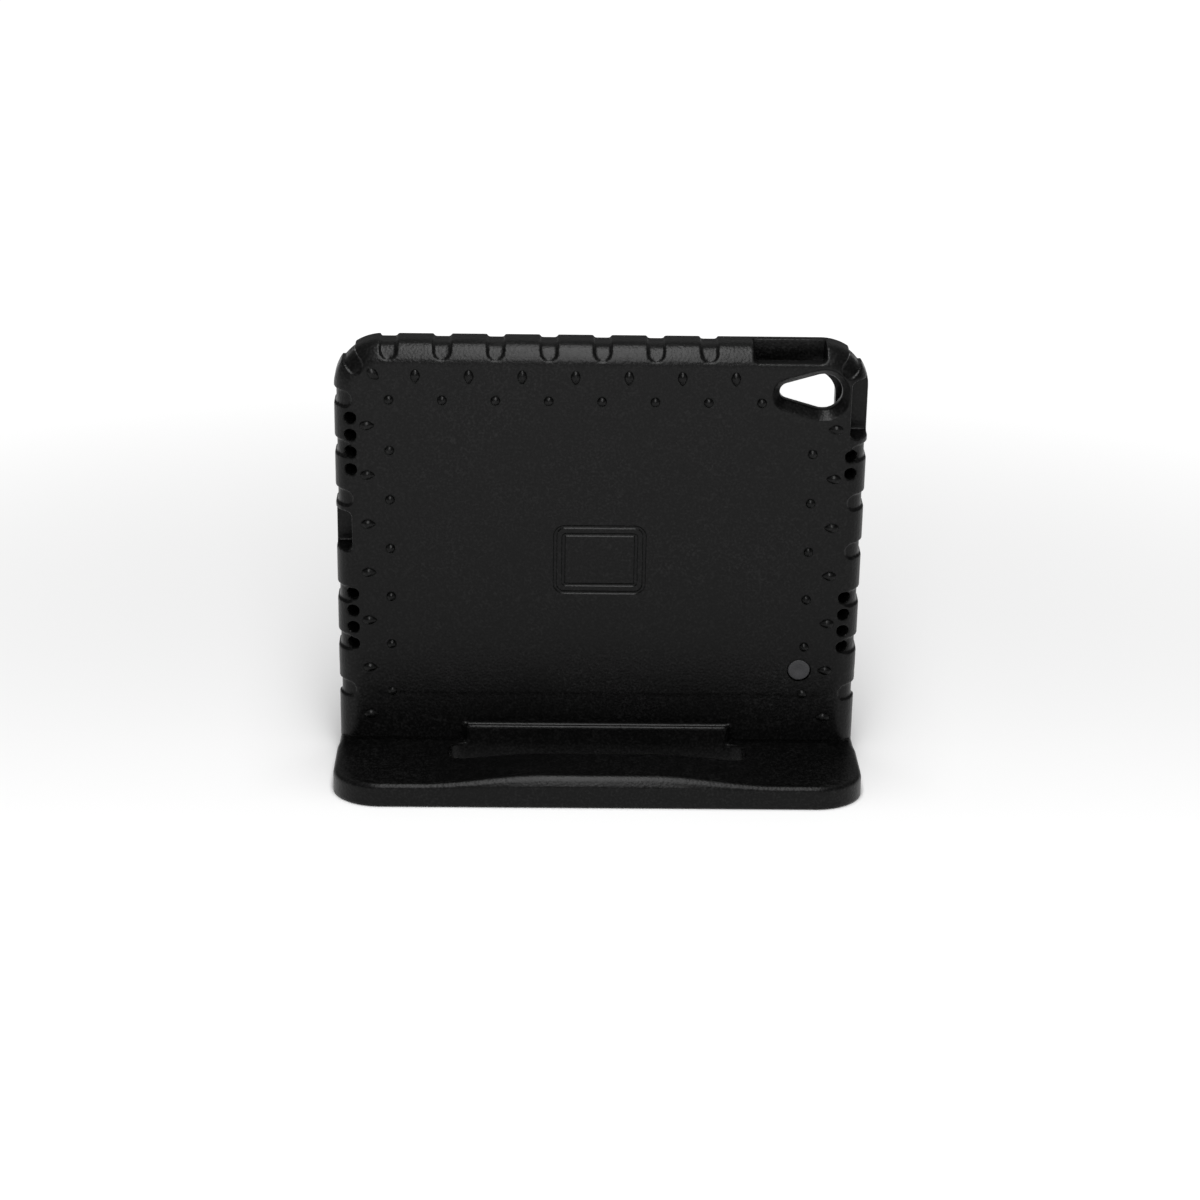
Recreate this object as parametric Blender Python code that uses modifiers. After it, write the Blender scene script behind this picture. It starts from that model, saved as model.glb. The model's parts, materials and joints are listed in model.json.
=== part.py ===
"""Kids tablet case: one foam moulding that wraps a tablet and stands on its folded carrying handle.

Metres, +Z up. The screen looks along +Y and the handle is folded back along -Y as the foot. The panel
leans back over the foot. What belongs to the panel is modelled in the panel's own frame, an empty at the
fold: x runs across, y from the back face toward the screen, and z up the panel.
"""

import math

import bmesh
import bpy
from mathutils import Matrix, Vector

# The tablet that the case holds, and its fit in the foam
TABLET_WIDTH = 0.2480
TABLET_HEIGHT = 0.1790
TABLET_THICKNESS = 0.0070
TABLET_CORNER = 0.0180
TABLET_CLEARANCE = 0.0003

# Foam around the tablet
WALL = 0.0110
BACK_THICKNESS = 0.0095
LIP_THICKNESS = 0.0072
LIP_REACH = 0.0055
CORNER_RADIUS = 0.0250
BACK_EDGE_FILLET = 0.0100
FRONT_EDGE_FILLET = 0.0042

# Apron: the foam below the tray, down to the floor
APRON_DROP = 0.0160
APRON_THICKNESS = 0.0160
APRON_LAP = 0.0450
APRON_LIFT = 0.0003
APRON_INSET = 0.0001

# Foot: the handle, folded back
LEAN = math.radians(5.0)
FOOT_THICKNESS = 0.0120
FOOT_DEPTH = 0.0650
FOOT_OVERHANG = 0.0005
FOOT_CORNER = 0.0250
FOOT_WIDENING = 0.0110
FOOT_TOP_FILLET = 0.0035
FOOT_SOLE_FILLET = 0.0012
FOLD_FILLET = 0.0010
FOOT_TUCK = 0.0002

# Grip: the thicker middle of the handle
GRIP_RISE = 0.0045
GRIP_FLAT = 0.0560
GRIP_LENGTH = 0.1860
GRIP_SETBACK = 0.0024
GRIP_CREASE = 0.0113
CREASE_BELOW_FILLET = 0.0004

# Hand slot through the handle, and the rib along its far side
SLOT_SETBACK = 0.0050
SLOT_WIDTH = 0.0256
SLOT_LENGTH = 0.1540
SLOT_CORNER = 0.0090
RIB_HEIGHT = 0.0090
RIB_FALL = 0.0035
RIB_LENGTH = 0.1460
RIB_TAPER = 0.0080
RIB_END_SHARE = 0.1
RIB_FILLET = 0.0020

# Grooves moulded over the edges
PITCH = 0.0268
NOTCH_WIDTH = 0.0087
NOTCH_DEPTH = 0.0013
NOTCH_REACH_TOP = 0.0075
NOTCH_REACH_SIDE = 0.0095
NOTCH_ROUNDING = 0.96
NOTCH_ROW_UP = -0.0085

# Raised dots on the back
DOT_LENGTH = 0.0078
DOT_WIDTH = 0.0050
DOT_RISE = 0.0023
DOT_OUTER_TOP = 0.0160
DOT_INNER_TOP = 0.0285
DOT_OUTER_SIDE = 0.0170
DOT_INNER_SIDE = 0.0282
DOT_CORNER_SIDE = 0.0205
DOT_CORNER_TOP = 0.0150

# Speaker holes
SPEAKER_DIAMETER = 0.0062
SPEAKER_PITCH = 0.0093
SPEAKER_INSET = 0.0086
SPEAKER_FIRST = 0.0344
SPEAKER_DEPTH_SHARE = 0.6

# Side and top openings: each one's length, its reach onto the back, and how far its middle is from
# the tablet's middle (charging port) or from the tablet's nearest corner (power and volume buttons)
CHARGE_LENGTH = 0.0220
CHARGE_OFFSET = 0.0000
CHARGE_REACH = 0.0086
POWER_LENGTH = 0.0309
POWER_FROM_TOP = 0.0213
POWER_REACH = 0.0097
VOLUME_LENGTH = 0.0367
VOLUME_FROM_SIDE = 0.0300
VOLUME_REACH = 0.0078
PORT_CORNER = 0.0030
PORT_DEEPER = 0.0015

# Camera window, placed from the tablet's corner
CAMERA_FROM_SIDE = 0.0124
CAMERA_FROM_TOP = 0.0125
CAMERA_RADIUS = 0.0095
FLASH_SPACING = 0.0176
FLASH_RADIUS = 0.0045
CAMERA_FLARE = 0.0042
CAMERA_FLARE_DEPTH = 0.0050

# Grey plug in the back, placed from the tablet's corner
PLUG_FROM_SIDE = 0.0190
PLUG_FROM_BOTTOM = 0.0140
PLUG_DIAMETER = 0.0116
PLUG_THICKNESS = 0.0030
PLUG_SINK = 0.0004
PLUG_CHAMFER = 0.0006
PLUG_CLEARANCE = 0.0005
PLUG_FLOOR_GAP = 0.0003

# Badge: two frame lines pressed into the back
BADGE_UP = -0.0139
BADGE_WIDTH = 0.0457
BADGE_HEIGHT = 0.0364
BADGE_CORNER = 0.0050
BADGE_INNER_WIDTH = 0.0372
BADGE_INNER_HEIGHT = 0.0278
BADGE_INNER_CORNER = 0.0015
BADGE_LINE = 0.0017

# How far a cutter runs past what it cuts, and how far a joined solid is buried
PAST = 0.0040
BURY = 0.0040

# Lengths closer than this are the same, and a face set back by it touches no other
HAIR = 0.00001

# How finely round shapes are divided
CORNER_SEGMENTS = 8
EDGE_SEGMENTS = 3
HOLE_SIDES = 16
WINDOW_SIDES = 28
DOT_SIDES = 8
DOT_RINGS = 6
GRIP_STATIONS = 7
WIDENING_STATIONS = 5
SHARP_ANGLE = math.radians(30)

# Sizes that follow from those above
POCKET_WIDTH = TABLET_WIDTH + 2 * TABLET_CLEARANCE
POCKET_HEIGHT = TABLET_HEIGHT + 2 * TABLET_CLEARANCE
POCKET_DEPTH = TABLET_THICKNESS + TABLET_CLEARANCE
BODY_WIDTH = POCKET_WIDTH + 2 * WALL
BODY_HEIGHT = POCKET_HEIGHT + 2 * WALL
BODY_THICKNESS = BACK_THICKNESS + POCKET_DEPTH + LIP_THICKNESS
TRAY_MIDDLE = APRON_DROP + BODY_HEIGHT / 2
FOOT_WIDTH = BODY_WIDTH + 2 * FOOT_OVERHANG
POWER_CENTRE = TABLET_HEIGHT / 2 - POWER_FROM_TOP
VOLUME_CENTRE = TABLET_WIDTH / 2 - VOLUME_FROM_SIDE
CAMERA_X = TABLET_WIDTH / 2 - CAMERA_FROM_SIDE
CAMERA_UP = TABLET_HEIGHT / 2 - CAMERA_FROM_TOP
PLUG_X = TABLET_WIDTH / 2 - PLUG_FROM_SIDE
PLUG_UP = PLUG_FROM_BOTTOM - TABLET_HEIGHT / 2

# The screen side's furthest point: the tray's front edge, just above its bottom rounding
SCREEN_SIDE = BODY_THICKNESS * math.cos(LEAN) - (APRON_DROP + FRONT_EDGE_FILLET) * math.sin(LEAN)
FOLD_Y = (FOOT_DEPTH - SCREEN_SIDE) / 2

FOAM_COLOUR = (0.018, 0.018, 0.019, 1.0)
PLUG_COLOUR = (0.050, 0.050, 0.052, 1.0)


def clear_scene():
    for old in list(bpy.data.objects):
        bpy.data.objects.remove(old, do_unlink=True)


def new_collection(name):
    collection = bpy.data.collections.new(name)
    bpy.context.scene.collection.children.link(collection)
    return collection


def make_material(name, colour, roughness):
    material = bpy.data.materials.new(name)
    material.use_nodes = True
    shader = material.node_tree.nodes["Principled BSDF"]
    shader.inputs["Base Color"].default_value = colour
    shader.inputs["Roughness"].default_value = roughness
    shader.inputs["Metallic"].default_value = 0.0
    return material


def mesh_object(name, bm, collection, parent=None):
    """Turns a bmesh into an object of the collection, carried by its parent frame."""
    bmesh.ops.recalc_face_normals(bm, faces=bm.faces)
    mesh = bpy.data.meshes.new(name)
    bm.to_mesh(mesh)
    bm.free()
    mesh.shade_smooth()
    mesh.set_sharp_from_angle(angle=SHARP_ANGLE)
    obj = bpy.data.objects.new(name, mesh)
    obj.parent = parent
    collection.objects.link(obj)
    return obj


def boolean(target, operand, operation):
    """Cuts or joins a helper solid; the helper itself is drawn as a wire only."""
    operand.hide_render = True
    operand.display_type = "WIRE"
    modifier = target.modifiers.new(f"{operation.lower()}_{operand.name}", "BOOLEAN")
    modifier.object = operand
    modifier.operation = operation
    modifier.solver = "EXACT"


def round_weighted_edges(obj, width):
    """Rounds the edges that carry a bevel weight, each to its weight times the width."""
    modifier = obj.modifiers.new("rounded_edges", "BEVEL")
    modifier.limit_method = "WEIGHT"
    modifier.width = width
    modifier.segments = EDGE_SEGMENTS
    modifier.use_clamp_overlap = False


def near(value, target):
    return abs(value - target) < HAIR


def anywhere(_point):
    return True


def add_block(bm, low, high):
    """Adds a box between two corners and returns its vertices."""
    low, high = Vector(low), Vector(high)
    place = Matrix.Translation((low + high) / 2) @ Matrix.Diagonal((*(high - low), 1.0))
    return bmesh.ops.create_cube(bm, size=1.0, matrix=place)["verts"]


def edges_along(verts, axis, where=anywhere):
    """The edges at these vertices that run along an axis, and whose middle passes the test."""
    found = []
    for edge in {edge for vert in verts for edge in vert.link_edges}:
        first, second = edge.verts[0].co, edge.verts[1].co
        if abs((first - second).normalized()[axis]) > 0.99 and where((first + second) / 2):
            found.append(edge)
    return found


def add_rounded_block(bm, low, high, axis, radius, segments, where=anywhere):
    """Adds a box whose edges along one axis are rounded, all of them or those that pass a test."""
    verts = add_block(bm, low, high)
    edges = edges_along(verts, axis, where)
    bmesh.ops.bevel(
        bm, geom=edges, offset=radius, segments=segments, profile=0.5, affect="EDGES"
    )


def weigh_edges(bm, where, weight):
    """Gives a bevel weight to each edge whose two ends pass the test."""
    layer = bm.edges.layers.float.get("bevel_weight_edge")
    if layer is None:
        layer = bm.edges.layers.float.new("bevel_weight_edge")
    for edge in bm.edges:
        if all(where(vert.co) for vert in edge.verts):
            edge[layer] = weight


def tray_block(name, inset, collection, frame):
    """The outside of the tray, or the same shape drawn in on every side by the inset."""
    half = BODY_WIDTH / 2 - inset
    back, front = inset, BODY_THICKNESS - inset
    low = TRAY_MIDDLE - BODY_HEIGHT / 2 + inset
    high = TRAY_MIDDLE + BODY_HEIGHT / 2 - inset
    bm = bmesh.new()
    add_rounded_block(
        bm, (-half, back, low), (half, front, high), 1, CORNER_RADIUS - inset, CORNER_SEGMENTS
    )
    back_fillet, front_fillet = BACK_EDGE_FILLET - inset, FRONT_EDGE_FILLET - inset
    weigh_edges(bm, lambda co: near(co.y, back), 1.0)
    weigh_edges(bm, lambda co: near(co.y, front), front_fillet / back_fillet)
    tray = mesh_object(name, bm, collection, frame)
    round_weighted_edges(tray, back_fillet)
    return tray


def apron_block(name, inset, collection, frame):
    """The foam below the tray: its top end is buried in the tray, and its lower end is level."""
    half = BODY_WIDTH / 2 - inset - APRON_INSET
    back, front = inset + APRON_INSET, APRON_THICKNESS - inset
    bm = bmesh.new()
    verts = add_block(bm, (-half, back, -FOOT_THICKNESS), (half, front, APRON_DROP + APRON_LAP))
    for vert in verts:
        if vert.co.z < 0:
            drop = FOOT_THICKNESS - APRON_LIFT - inset
            vert.co.z = -(drop + vert.co.y * math.sin(LEAN)) / math.cos(LEAN)
    back_fillet, front_fillet = BACK_EDGE_FILLET - inset, FRONT_EDGE_FILLET - inset
    layer = bm.edges.layers.float.new("bevel_weight_edge")
    for edge in edges_along(verts, 2):
        on_back = near(edge.verts[0].co.y, back)
        edge[layer] = 1.0 if on_back else front_fillet / back_fillet
    apron = mesh_object(name, bm, collection, frame)
    round_weighted_edges(apron, back_fillet)
    return apron


def steps_between(low, high, start):
    """The places of a pattern that has one place at the start, one pitch apart, between two limits."""
    first, last = math.ceil((low - start) / PITCH), math.floor((high - start) / PITCH)
    return [start + step * PITCH for step in range(first, last + 1)]


def notch_places():
    """Each groove as (x, height above the tray's middle, reach, turn); the turn points it inward."""
    top, side = BODY_HEIGHT / 2, BODY_WIDTH / 2
    straight_side, straight_top = side - CORNER_RADIUS, top - CORNER_RADIUS
    volume_start = VOLUME_CENTRE - VOLUME_LENGTH / 2
    power_start = POWER_CENTRE - POWER_LENGTH / 2
    places = []
    for x in steps_between(-straight_side, volume_start - NOTCH_WIDTH, 0):
        places.append((x, top, NOTCH_REACH_TOP, -90))
    for height in steps_between(NOTCH_WIDTH - top, straight_top, NOTCH_ROW_UP):
        if height < power_start - NOTCH_WIDTH / 2:
            places.append((side, height, NOTCH_REACH_SIDE, 180))
        if abs(height - CHARGE_OFFSET) > (CHARGE_LENGTH + NOTCH_WIDTH) / 2:
            places.append((-side, height, NOTCH_REACH_SIDE, 0))
    arc = CORNER_RADIUS * (1 - math.sqrt(0.5))
    places.append((-side + arc, top - arc, NOTCH_REACH_SIDE, -45))
    places.append((side - arc, top - arc, NOTCH_REACH_SIDE, -135))
    return places


def notch_cutter(collection, frame):
    """Bars with a round inner end, which cut the outer skin away where each groove runs."""
    bm = bmesh.new()
    half = NOTCH_WIDTH / 2
    for x, height, reach, turn in notch_places():
        bar = bmesh.new()
        add_rounded_block(
            bar, (-PAST, -PAST, -half), (reach, BODY_THICKNESS + PAST, half), 1,
            NOTCH_ROUNDING * half, CORNER_SEGMENTS // 2, lambda middle, end=reach: near(middle.x, end),
        )
        place = Matrix.Translation((x, 0, TRAY_MIDDLE + height))
        bmesh.ops.transform(bar, verts=bar.verts, matrix=place @ Matrix.Rotation(
            math.radians(-turn), 4, "Y"))
        add_copy(bm, bar)
    return mesh_object("notch_cutter", bm, collection, frame)


def add_copy(bm, other):
    """Moves another bmesh's shape into this one."""
    mesh = bpy.data.meshes.new("shape")
    other.to_mesh(mesh)
    other.free()
    bm.from_mesh(mesh)
    bpy.data.meshes.remove(mesh)


def dot_places():
    """Each dot as (x, height above the tray's middle, turn, True where it is long)."""
    top, side = BODY_HEIGHT / 2, BODY_WIDTH / 2
    straight_side = side - CORNER_RADIUS
    volume_start = VOLUME_CENTRE - VOLUME_LENGTH / 2
    camera_side = CAMERA_X - FLASH_SPACING - FLASH_RADIUS - CAMERA_FLARE
    camera_base = CAMERA_UP - CAMERA_RADIUS - CAMERA_FLARE
    places = []
    for x in steps_between(-straight_side, volume_start - DOT_WIDTH, PITCH / 2):
        places.append((x, top - DOT_OUTER_TOP, 0, True))
    for x in steps_between(-straight_side, camera_side - DOT_WIDTH / 2, 0):
        places.append((x, top - DOT_INNER_TOP, 0, False))
    for height in steps_between(-top - DOT_WIDTH, camera_base, NOTCH_ROW_UP + PITCH / 2):
        places.append((-side + DOT_OUTER_SIDE, height, 90, True))
        places.append((side - DOT_OUTER_SIDE, height, 90, True))
    for height in steps_between(-top, camera_base - PITCH / 2, NOTCH_ROW_UP):
        places.append((-side + DOT_INNER_SIDE, height, 0, False))
        places.append((side - DOT_INNER_SIDE, height, 0, False))
    places.append((-side + DOT_CORNER_SIDE, top - DOT_CORNER_TOP, -45, True))
    return places


def dot_domes(collection, frame):
    """Shallow domes, half buried in the back face."""
    bm = bmesh.new()
    for x, height, turn, is_long in dot_places():
        length = DOT_LENGTH if is_long else DOT_WIDTH
        shape = Matrix.Diagonal((DOT_WIDTH / 2, DOT_RISE, length / 2, 1.0))
        place = Matrix.Translation((x, 0, TRAY_MIDDLE + height))
        turned = Matrix.Rotation(math.radians(turn), 4, "Y")
        bmesh.ops.create_uvsphere(
            bm, u_segments=DOT_SIDES, v_segments=DOT_RINGS, radius=1.0, matrix=place @ turned @ shape
        )
    return mesh_object("dot_domes", bm, collection, frame)


def smooth_step(share):
    share = min(max(share, 0.0), 1.0)
    return share * share * (3 - 2 * share)


def grip_share(x):
    """1 in the middle of the grip, 0 past its ends, on a smooth curve between."""
    return smooth_step((GRIP_LENGTH / 2 - abs(x)) / ((GRIP_LENGTH - GRIP_FLAT) / 2))


def even_shares(count):
    """Evenly spaced numbers from 0 to 1."""
    return [step / (count - 1) for step in range(count)]


def cut_at(bm, axis, places):
    """Divides a solid's faces by planes across one axis, so that they can be bent there."""
    normal = Vector((0, 0, 0))
    normal[axis] = 1.0
    for place in places:
        geometry = list(bm.verts) + list(bm.edges) + list(bm.faces)
        bmesh.ops.bisect_plane(bm, geom=geometry, plane_co=normal * place, plane_no=normal)


def foot_block(collection):
    """The folded handle: a slab with round corners, a little wider than the tray, with a raised grip."""
    half = FOOT_WIDTH / 2
    tip = FOLD_Y - FOOT_DEPTH
    end = FOLD_Y + APRON_THICKNESS - FRONT_EDGE_FILLET
    crease = FOOT_THICKNESS - FOOT_TOP_FILLET - CREASE_BELOW_FILLET
    bm = bmesh.new()
    add_rounded_block(
        bm, (-half, tip, 0), (half, end, FOOT_THICKNESS), 2,
        FOOT_CORNER, CORNER_SEGMENTS, lambda middle: near(middle.y, tip),
    )
    slope = (GRIP_LENGTH - GRIP_FLAT) / 2
    stations = [GRIP_FLAT / 2 + slope * share for share in even_shares(GRIP_STATIONS)]
    cut_at(bm, 0, stations + [-station for station in stations])
    slot_near = FOLD_Y - SLOT_SETBACK - SLOT_WIDTH
    widening = [FOLD_Y - FOOT_WIDENING * share for share in even_shares(WIDENING_STATIONS)]
    cut_at(bm, 1, widening + [slot_near])
    cut_at(bm, 2, [crease])
    weigh_edges(bm, lambda co: near(co.z, FOOT_THICKNESS) and on_rim(co, half, tip), 1.0)
    weigh_edges(
        bm, lambda co: near(co.z, 0) and on_rim(co, half, tip), FOOT_SOLE_FILLET / FOOT_TOP_FILLET
    )
    inner_half = BODY_WIDTH / 2 - FOOT_TUCK
    for vert in bm.verts:
        share = grip_share(vert.co.x)
        fade = smooth_step((FOLD_Y - SLOT_SETBACK - vert.co.y) / SLOT_WIDTH)
        if near(vert.co.z, FOOT_THICKNESS):
            vert.co.z += GRIP_RISE * share * fade
            if near(vert.co.y, tip):
                vert.co.y += GRIP_SETBACK * share
        elif near(vert.co.z, crease):
            vert.co.z += (GRIP_CREASE - crease) * share * fade
        wide = smooth_step((FOLD_Y - vert.co.y) / FOOT_WIDENING)
        vert.co.x *= (inner_half + (half - inner_half) * wide) / half
    foot = mesh_object("foot_slab", bm, collection)
    round_weighted_edges(foot, FOOT_TOP_FILLET)
    return foot


def on_rim(point, half, tip):
    """True on the foot's outline: its two sides, its near edge and the round corners between."""
    past_x = abs(point.x) - (half - FOOT_CORNER)
    past_y = tip + FOOT_CORNER - point.y
    if past_x > -HAIR and past_y > -HAIR:
        return math.hypot(past_x, past_y) > FOOT_CORNER * 0.99
    return near(abs(point.x), half) or near(point.y, tip)


def rib_block(collection, frame):
    """The rib along the slot's far side. Its top falls toward the panel, and its ends are thin."""
    half = RIB_LENGTH / 2
    bm = bmesh.new()
    verts = add_block(bm, (-half, -SLOT_SETBACK, -BURY), (half, BURY, RIB_HEIGHT))
    layer = bm.edges.layers.float.new("bevel_weight_edge")
    for edge in edges_along(verts, 0):
        if near(edge.verts[0].co.z, RIB_HEIGHT) and near(edge.verts[0].co.y, -SLOT_SETBACK):
            edge[layer] = 1.0
    cut_at(bm, 0, (RIB_TAPER - half, half - RIB_TAPER))
    for vert in bm.verts:
        if vert.co.y > 0 and near(vert.co.z, RIB_HEIGHT):
            vert.co.z -= RIB_FALL
        if near(abs(vert.co.x), half) and vert.co.y < 0:
            vert.co.y *= RIB_END_SHARE
    rib = mesh_object("slot_rib", bm, collection, frame)
    round_weighted_edges(rib, RIB_FILLET)
    return rib


def fold_fillet(collection, frame):
    """The rounded inside corner between the back panel and the foot's top."""
    corner = math.pi / 2 - LEAN
    reach = FOLD_FILLET / math.tan(corner / 2)
    half = BODY_WIDTH / 2 - BACK_EDGE_FILLET
    bm = bmesh.new()
    add_block(bm, (-half, -reach, -BURY), (half, BURY, reach))
    strip = mesh_object("fold_fillet", bm, collection, frame)
    bm = bmesh.new()
    add_cylinder(bm, (0, -FOLD_FILLET, reach), "X", FOLD_FILLET, 2 * (half + PAST), WINDOW_SIDES)
    boolean(strip, mesh_object("fold_hollow", bm, collection, frame), "DIFFERENCE")
    return strip


def add_cylinder(bm, centre, axis, radius, length, sides, radius_end=None):
    """Adds a cylinder, or a cone with another radius at its far end, along X or Y about its centre."""
    quarter = math.pi / 2
    turn = Matrix.Rotation(quarter, 4, "Y") if axis == "X" else Matrix.Rotation(-quarter, 4, "X")
    bmesh.ops.create_cone(
        bm, cap_ends=True, segments=sides, radius1=radius,
        radius2=radius if radius_end is None else radius_end, depth=length,
        matrix=Matrix.Translation(centre) @ turn,
    )


def pocket_cutters(collection, frame):
    """The tablet's pocket, and the window through the lip in front of its screen."""
    back = BACK_THICKNESS
    front = BACK_THICKNESS + POCKET_DEPTH
    half, rise = POCKET_WIDTH / 2, POCKET_HEIGHT / 2
    bm = bmesh.new()
    add_rounded_block(
        bm, (-half, back, TRAY_MIDDLE - rise), (half, front, TRAY_MIDDLE + rise), 1,
        TABLET_CORNER + TABLET_CLEARANCE, CORNER_SEGMENTS,
    )
    pocket = mesh_object("pocket_cutter", bm, collection, frame)
    half, rise = half - LIP_REACH, rise - LIP_REACH
    bm = bmesh.new()
    add_rounded_block(
        bm, (-half, front - PAST, TRAY_MIDDLE - rise),
        (half, BODY_THICKNESS + PAST, TRAY_MIDDLE + rise), 1,
        TABLET_CORNER + TABLET_CLEARANCE - LIP_REACH, CORNER_SEGMENTS,
    )
    return pocket, mesh_object("window_cutter", bm, collection, frame)


def port_cutters(collection, frame):
    """Openings for the charging port, the power button and the volume buttons.

    Each is a bay cut out of the back's edge, and a slot through the wall behind the lip.
    """
    side, top = BODY_WIDTH / 2, BODY_HEIGHT / 2
    bays, slots = bmesh.new(), bmesh.new()
    ports = (
        (-side, -1, CHARGE_OFFSET, CHARGE_LENGTH, CHARGE_REACH),
        (side, 1, POWER_CENTRE, POWER_LENGTH, POWER_REACH),
    )
    wall_back = BACK_THICKNESS - PORT_DEEPER
    wall_front = BACK_THICKNESS + POCKET_DEPTH
    for edge, outward, centre, length, reach in ports:
        low_z, high_z = TRAY_MIDDLE + centre - length / 2, TRAY_MIDDLE + centre + length / 2
        outer, bay, slot = edge + outward * PAST, edge - outward * reach, edge - outward * (WALL + PAST)
        bay_low, bay_high = sorted((outer, bay))
        add_rounded_block(
            bays, (bay_low, -PAST, low_z), (bay_high, BACK_THICKNESS, high_z), 1,
            PORT_CORNER, EDGE_SEGMENTS, lambda middle, end=bay: near(middle.x, end),
        )
        slot_low, slot_high = sorted((outer, slot))
        add_block(slots, (slot_low, wall_back, low_z + HAIR), (slot_high, wall_front, high_z - HAIR))
    low_x, high_x = VOLUME_CENTRE - VOLUME_LENGTH / 2, VOLUME_CENTRE + VOLUME_LENGTH / 2
    upper = TRAY_MIDDLE + top + PAST
    bay = TRAY_MIDDLE + top - VOLUME_REACH
    add_rounded_block(
        bays, (low_x, -PAST, bay), (high_x, BACK_THICKNESS, upper), 1,
        PORT_CORNER, EDGE_SEGMENTS, lambda middle: near(middle.z, bay),
    )
    add_block(
        slots, (low_x + HAIR, wall_back, TRAY_MIDDLE + top - WALL - PAST),
        (high_x - HAIR, wall_front, upper),
    )
    return (
        mesh_object("port_bays", bays, collection, frame),
        mesh_object("port_slots", slots, collection, frame),
    )


def speaker_places():
    """Speaker holes in fours on the left and below on the right, and two beside the power opening."""
    inset = BODY_WIDTH / 2 - SPEAKER_INSET
    places = []
    for step in range(4):
        height = SPEAKER_FIRST + step * SPEAKER_PITCH
        places += [(-inset, height), (-inset, -height), (inset, -height)]
        if height + SPEAKER_DIAMETER < POWER_CENTRE - POWER_LENGTH / 2:
            places.append((inset, height))
    return places


def speaker_cutter(collection, frame):
    """Round holes that run in from the back, and open into the side of the pocket."""
    bm = bmesh.new()
    depth = PAST + BACK_THICKNESS + POCKET_DEPTH * SPEAKER_DEPTH_SHARE
    for x, height in speaker_places():
        centre = (x, depth / 2 - PAST, TRAY_MIDDLE + height)
        add_cylinder(bm, centre, "Y", SPEAKER_DIAMETER / 2, depth, HOLE_SIDES)
    return mesh_object("speaker_cutter", bm, collection, frame)


def camera_cutter(collection, frame):
    """A pear-shaped window around the lens and the flash, flared toward the outside."""
    flash_x = CAMERA_X - FLASH_SPACING

    def pear(name, back, front, widen_back, widen_front):
        bm = bmesh.new()
        for x, radius in ((CAMERA_X, CAMERA_RADIUS), (flash_x, FLASH_RADIUS)):
            centre = (x, (back + front) / 2, TRAY_MIDDLE + CAMERA_UP)
            add_cylinder(
                bm, centre, "Y", radius + widen_back, front - back, WINDOW_SIDES,
                radius + widen_front,
            )
        hull = bmesh.ops.convex_hull(bm, input=bm.verts)
        loose = [item for item in hull["geom_interior"] if isinstance(item, bmesh.types.BMVert)]
        bmesh.ops.delete(bm, geom=loose, context="VERTS")
        bmesh.ops.dissolve_limit(
            bm, angle_limit=math.radians(0.5), verts=bm.verts, edges=bm.edges
        )
        return mesh_object(name, bm, collection, frame)

    slope = CAMERA_FLARE / CAMERA_FLARE_DEPTH
    flare = pear("camera_flare", -PAST, CAMERA_FLARE_DEPTH, CAMERA_FLARE + PAST * slope, 0.0)
    throat = pear("camera_throat", CAMERA_FLARE_DEPTH - PAST / 2, BACK_THICKNESS + PAST / 2, 0.0, 0.0)
    return flare, throat


def badge_lines(collection, frame):
    """Two thin rods, bent to rounded frames, that press their lines into the back."""
    rods = []
    frames = (
        ("badge_outer_line", BADGE_WIDTH, BADGE_HEIGHT, BADGE_CORNER),
        ("badge_inner_line", BADGE_INNER_WIDTH, BADGE_INNER_HEIGHT, BADGE_INNER_CORNER),
    )
    for name, width, height, radius in frames:
        points = []
        for quarter in range(4):
            for step in range(EDGE_SEGMENTS + 1):
                angle = math.pi / 2 * (quarter + step / EDGE_SEGMENTS)
                across, up = math.cos(angle), math.sin(angle)
                side_x = 1 if quarter in (0, 3) else -1
                side_z = 1 if quarter in (0, 1) else -1
                points.append((
                    side_x * (width / 2 - radius) + radius * across, 0.0,
                    side_z * (height / 2 - radius) + radius * up,
                ))
        curve = bpy.data.curves.new(name, "CURVE")
        curve.dimensions = "3D"
        curve.bevel_depth = BADGE_LINE / 2
        curve.bevel_resolution = 1
        spline = curve.splines.new("POLY")
        spline.points.add(len(points) - 1)
        for knot, point in zip(spline.points, points):
            knot.co = (*point, 1.0)
        spline.use_cyclic_u = True
        rods.append(curve_to_mesh(name, curve, (0, 0, TRAY_MIDDLE + BADGE_UP), collection, frame))
    return rods


def curve_to_mesh(name, curve, place, collection, frame):
    """Makes a curve's tube a mesh object, since only a mesh can cut another solid."""
    rod = bpy.data.objects.new(f"{name}_curve", curve)
    collection.objects.link(rod)
    bpy.context.view_layer.update()
    evaluated = rod.evaluated_get(bpy.context.evaluated_depsgraph_get())
    mesh = bpy.data.meshes.new_from_object(evaluated)
    bm = bmesh.new()
    bm.from_mesh(mesh)
    bmesh.ops.remove_doubles(bm, verts=bm.verts, dist=1e-6)
    bpy.data.objects.remove(rod, do_unlink=True)
    bpy.data.meshes.remove(mesh)
    cutter = mesh_object(name, bm, collection, frame)
    cutter.location = place
    return cutter


def slot_cutter(collection):
    """The hand slot, straight down through the folded handle."""
    far = FOLD_Y - SLOT_SETBACK
    half = SLOT_LENGTH / 2
    bm = bmesh.new()
    add_rounded_block(
        bm, (-half, far - SLOT_WIDTH, -PAST), (half, far, FOOT_THICKNESS + RIB_HEIGHT + PAST), 2,
        SLOT_CORNER, EDGE_SEGMENTS,
    )
    return mesh_object("slot_cutter", bm, collection)


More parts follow.
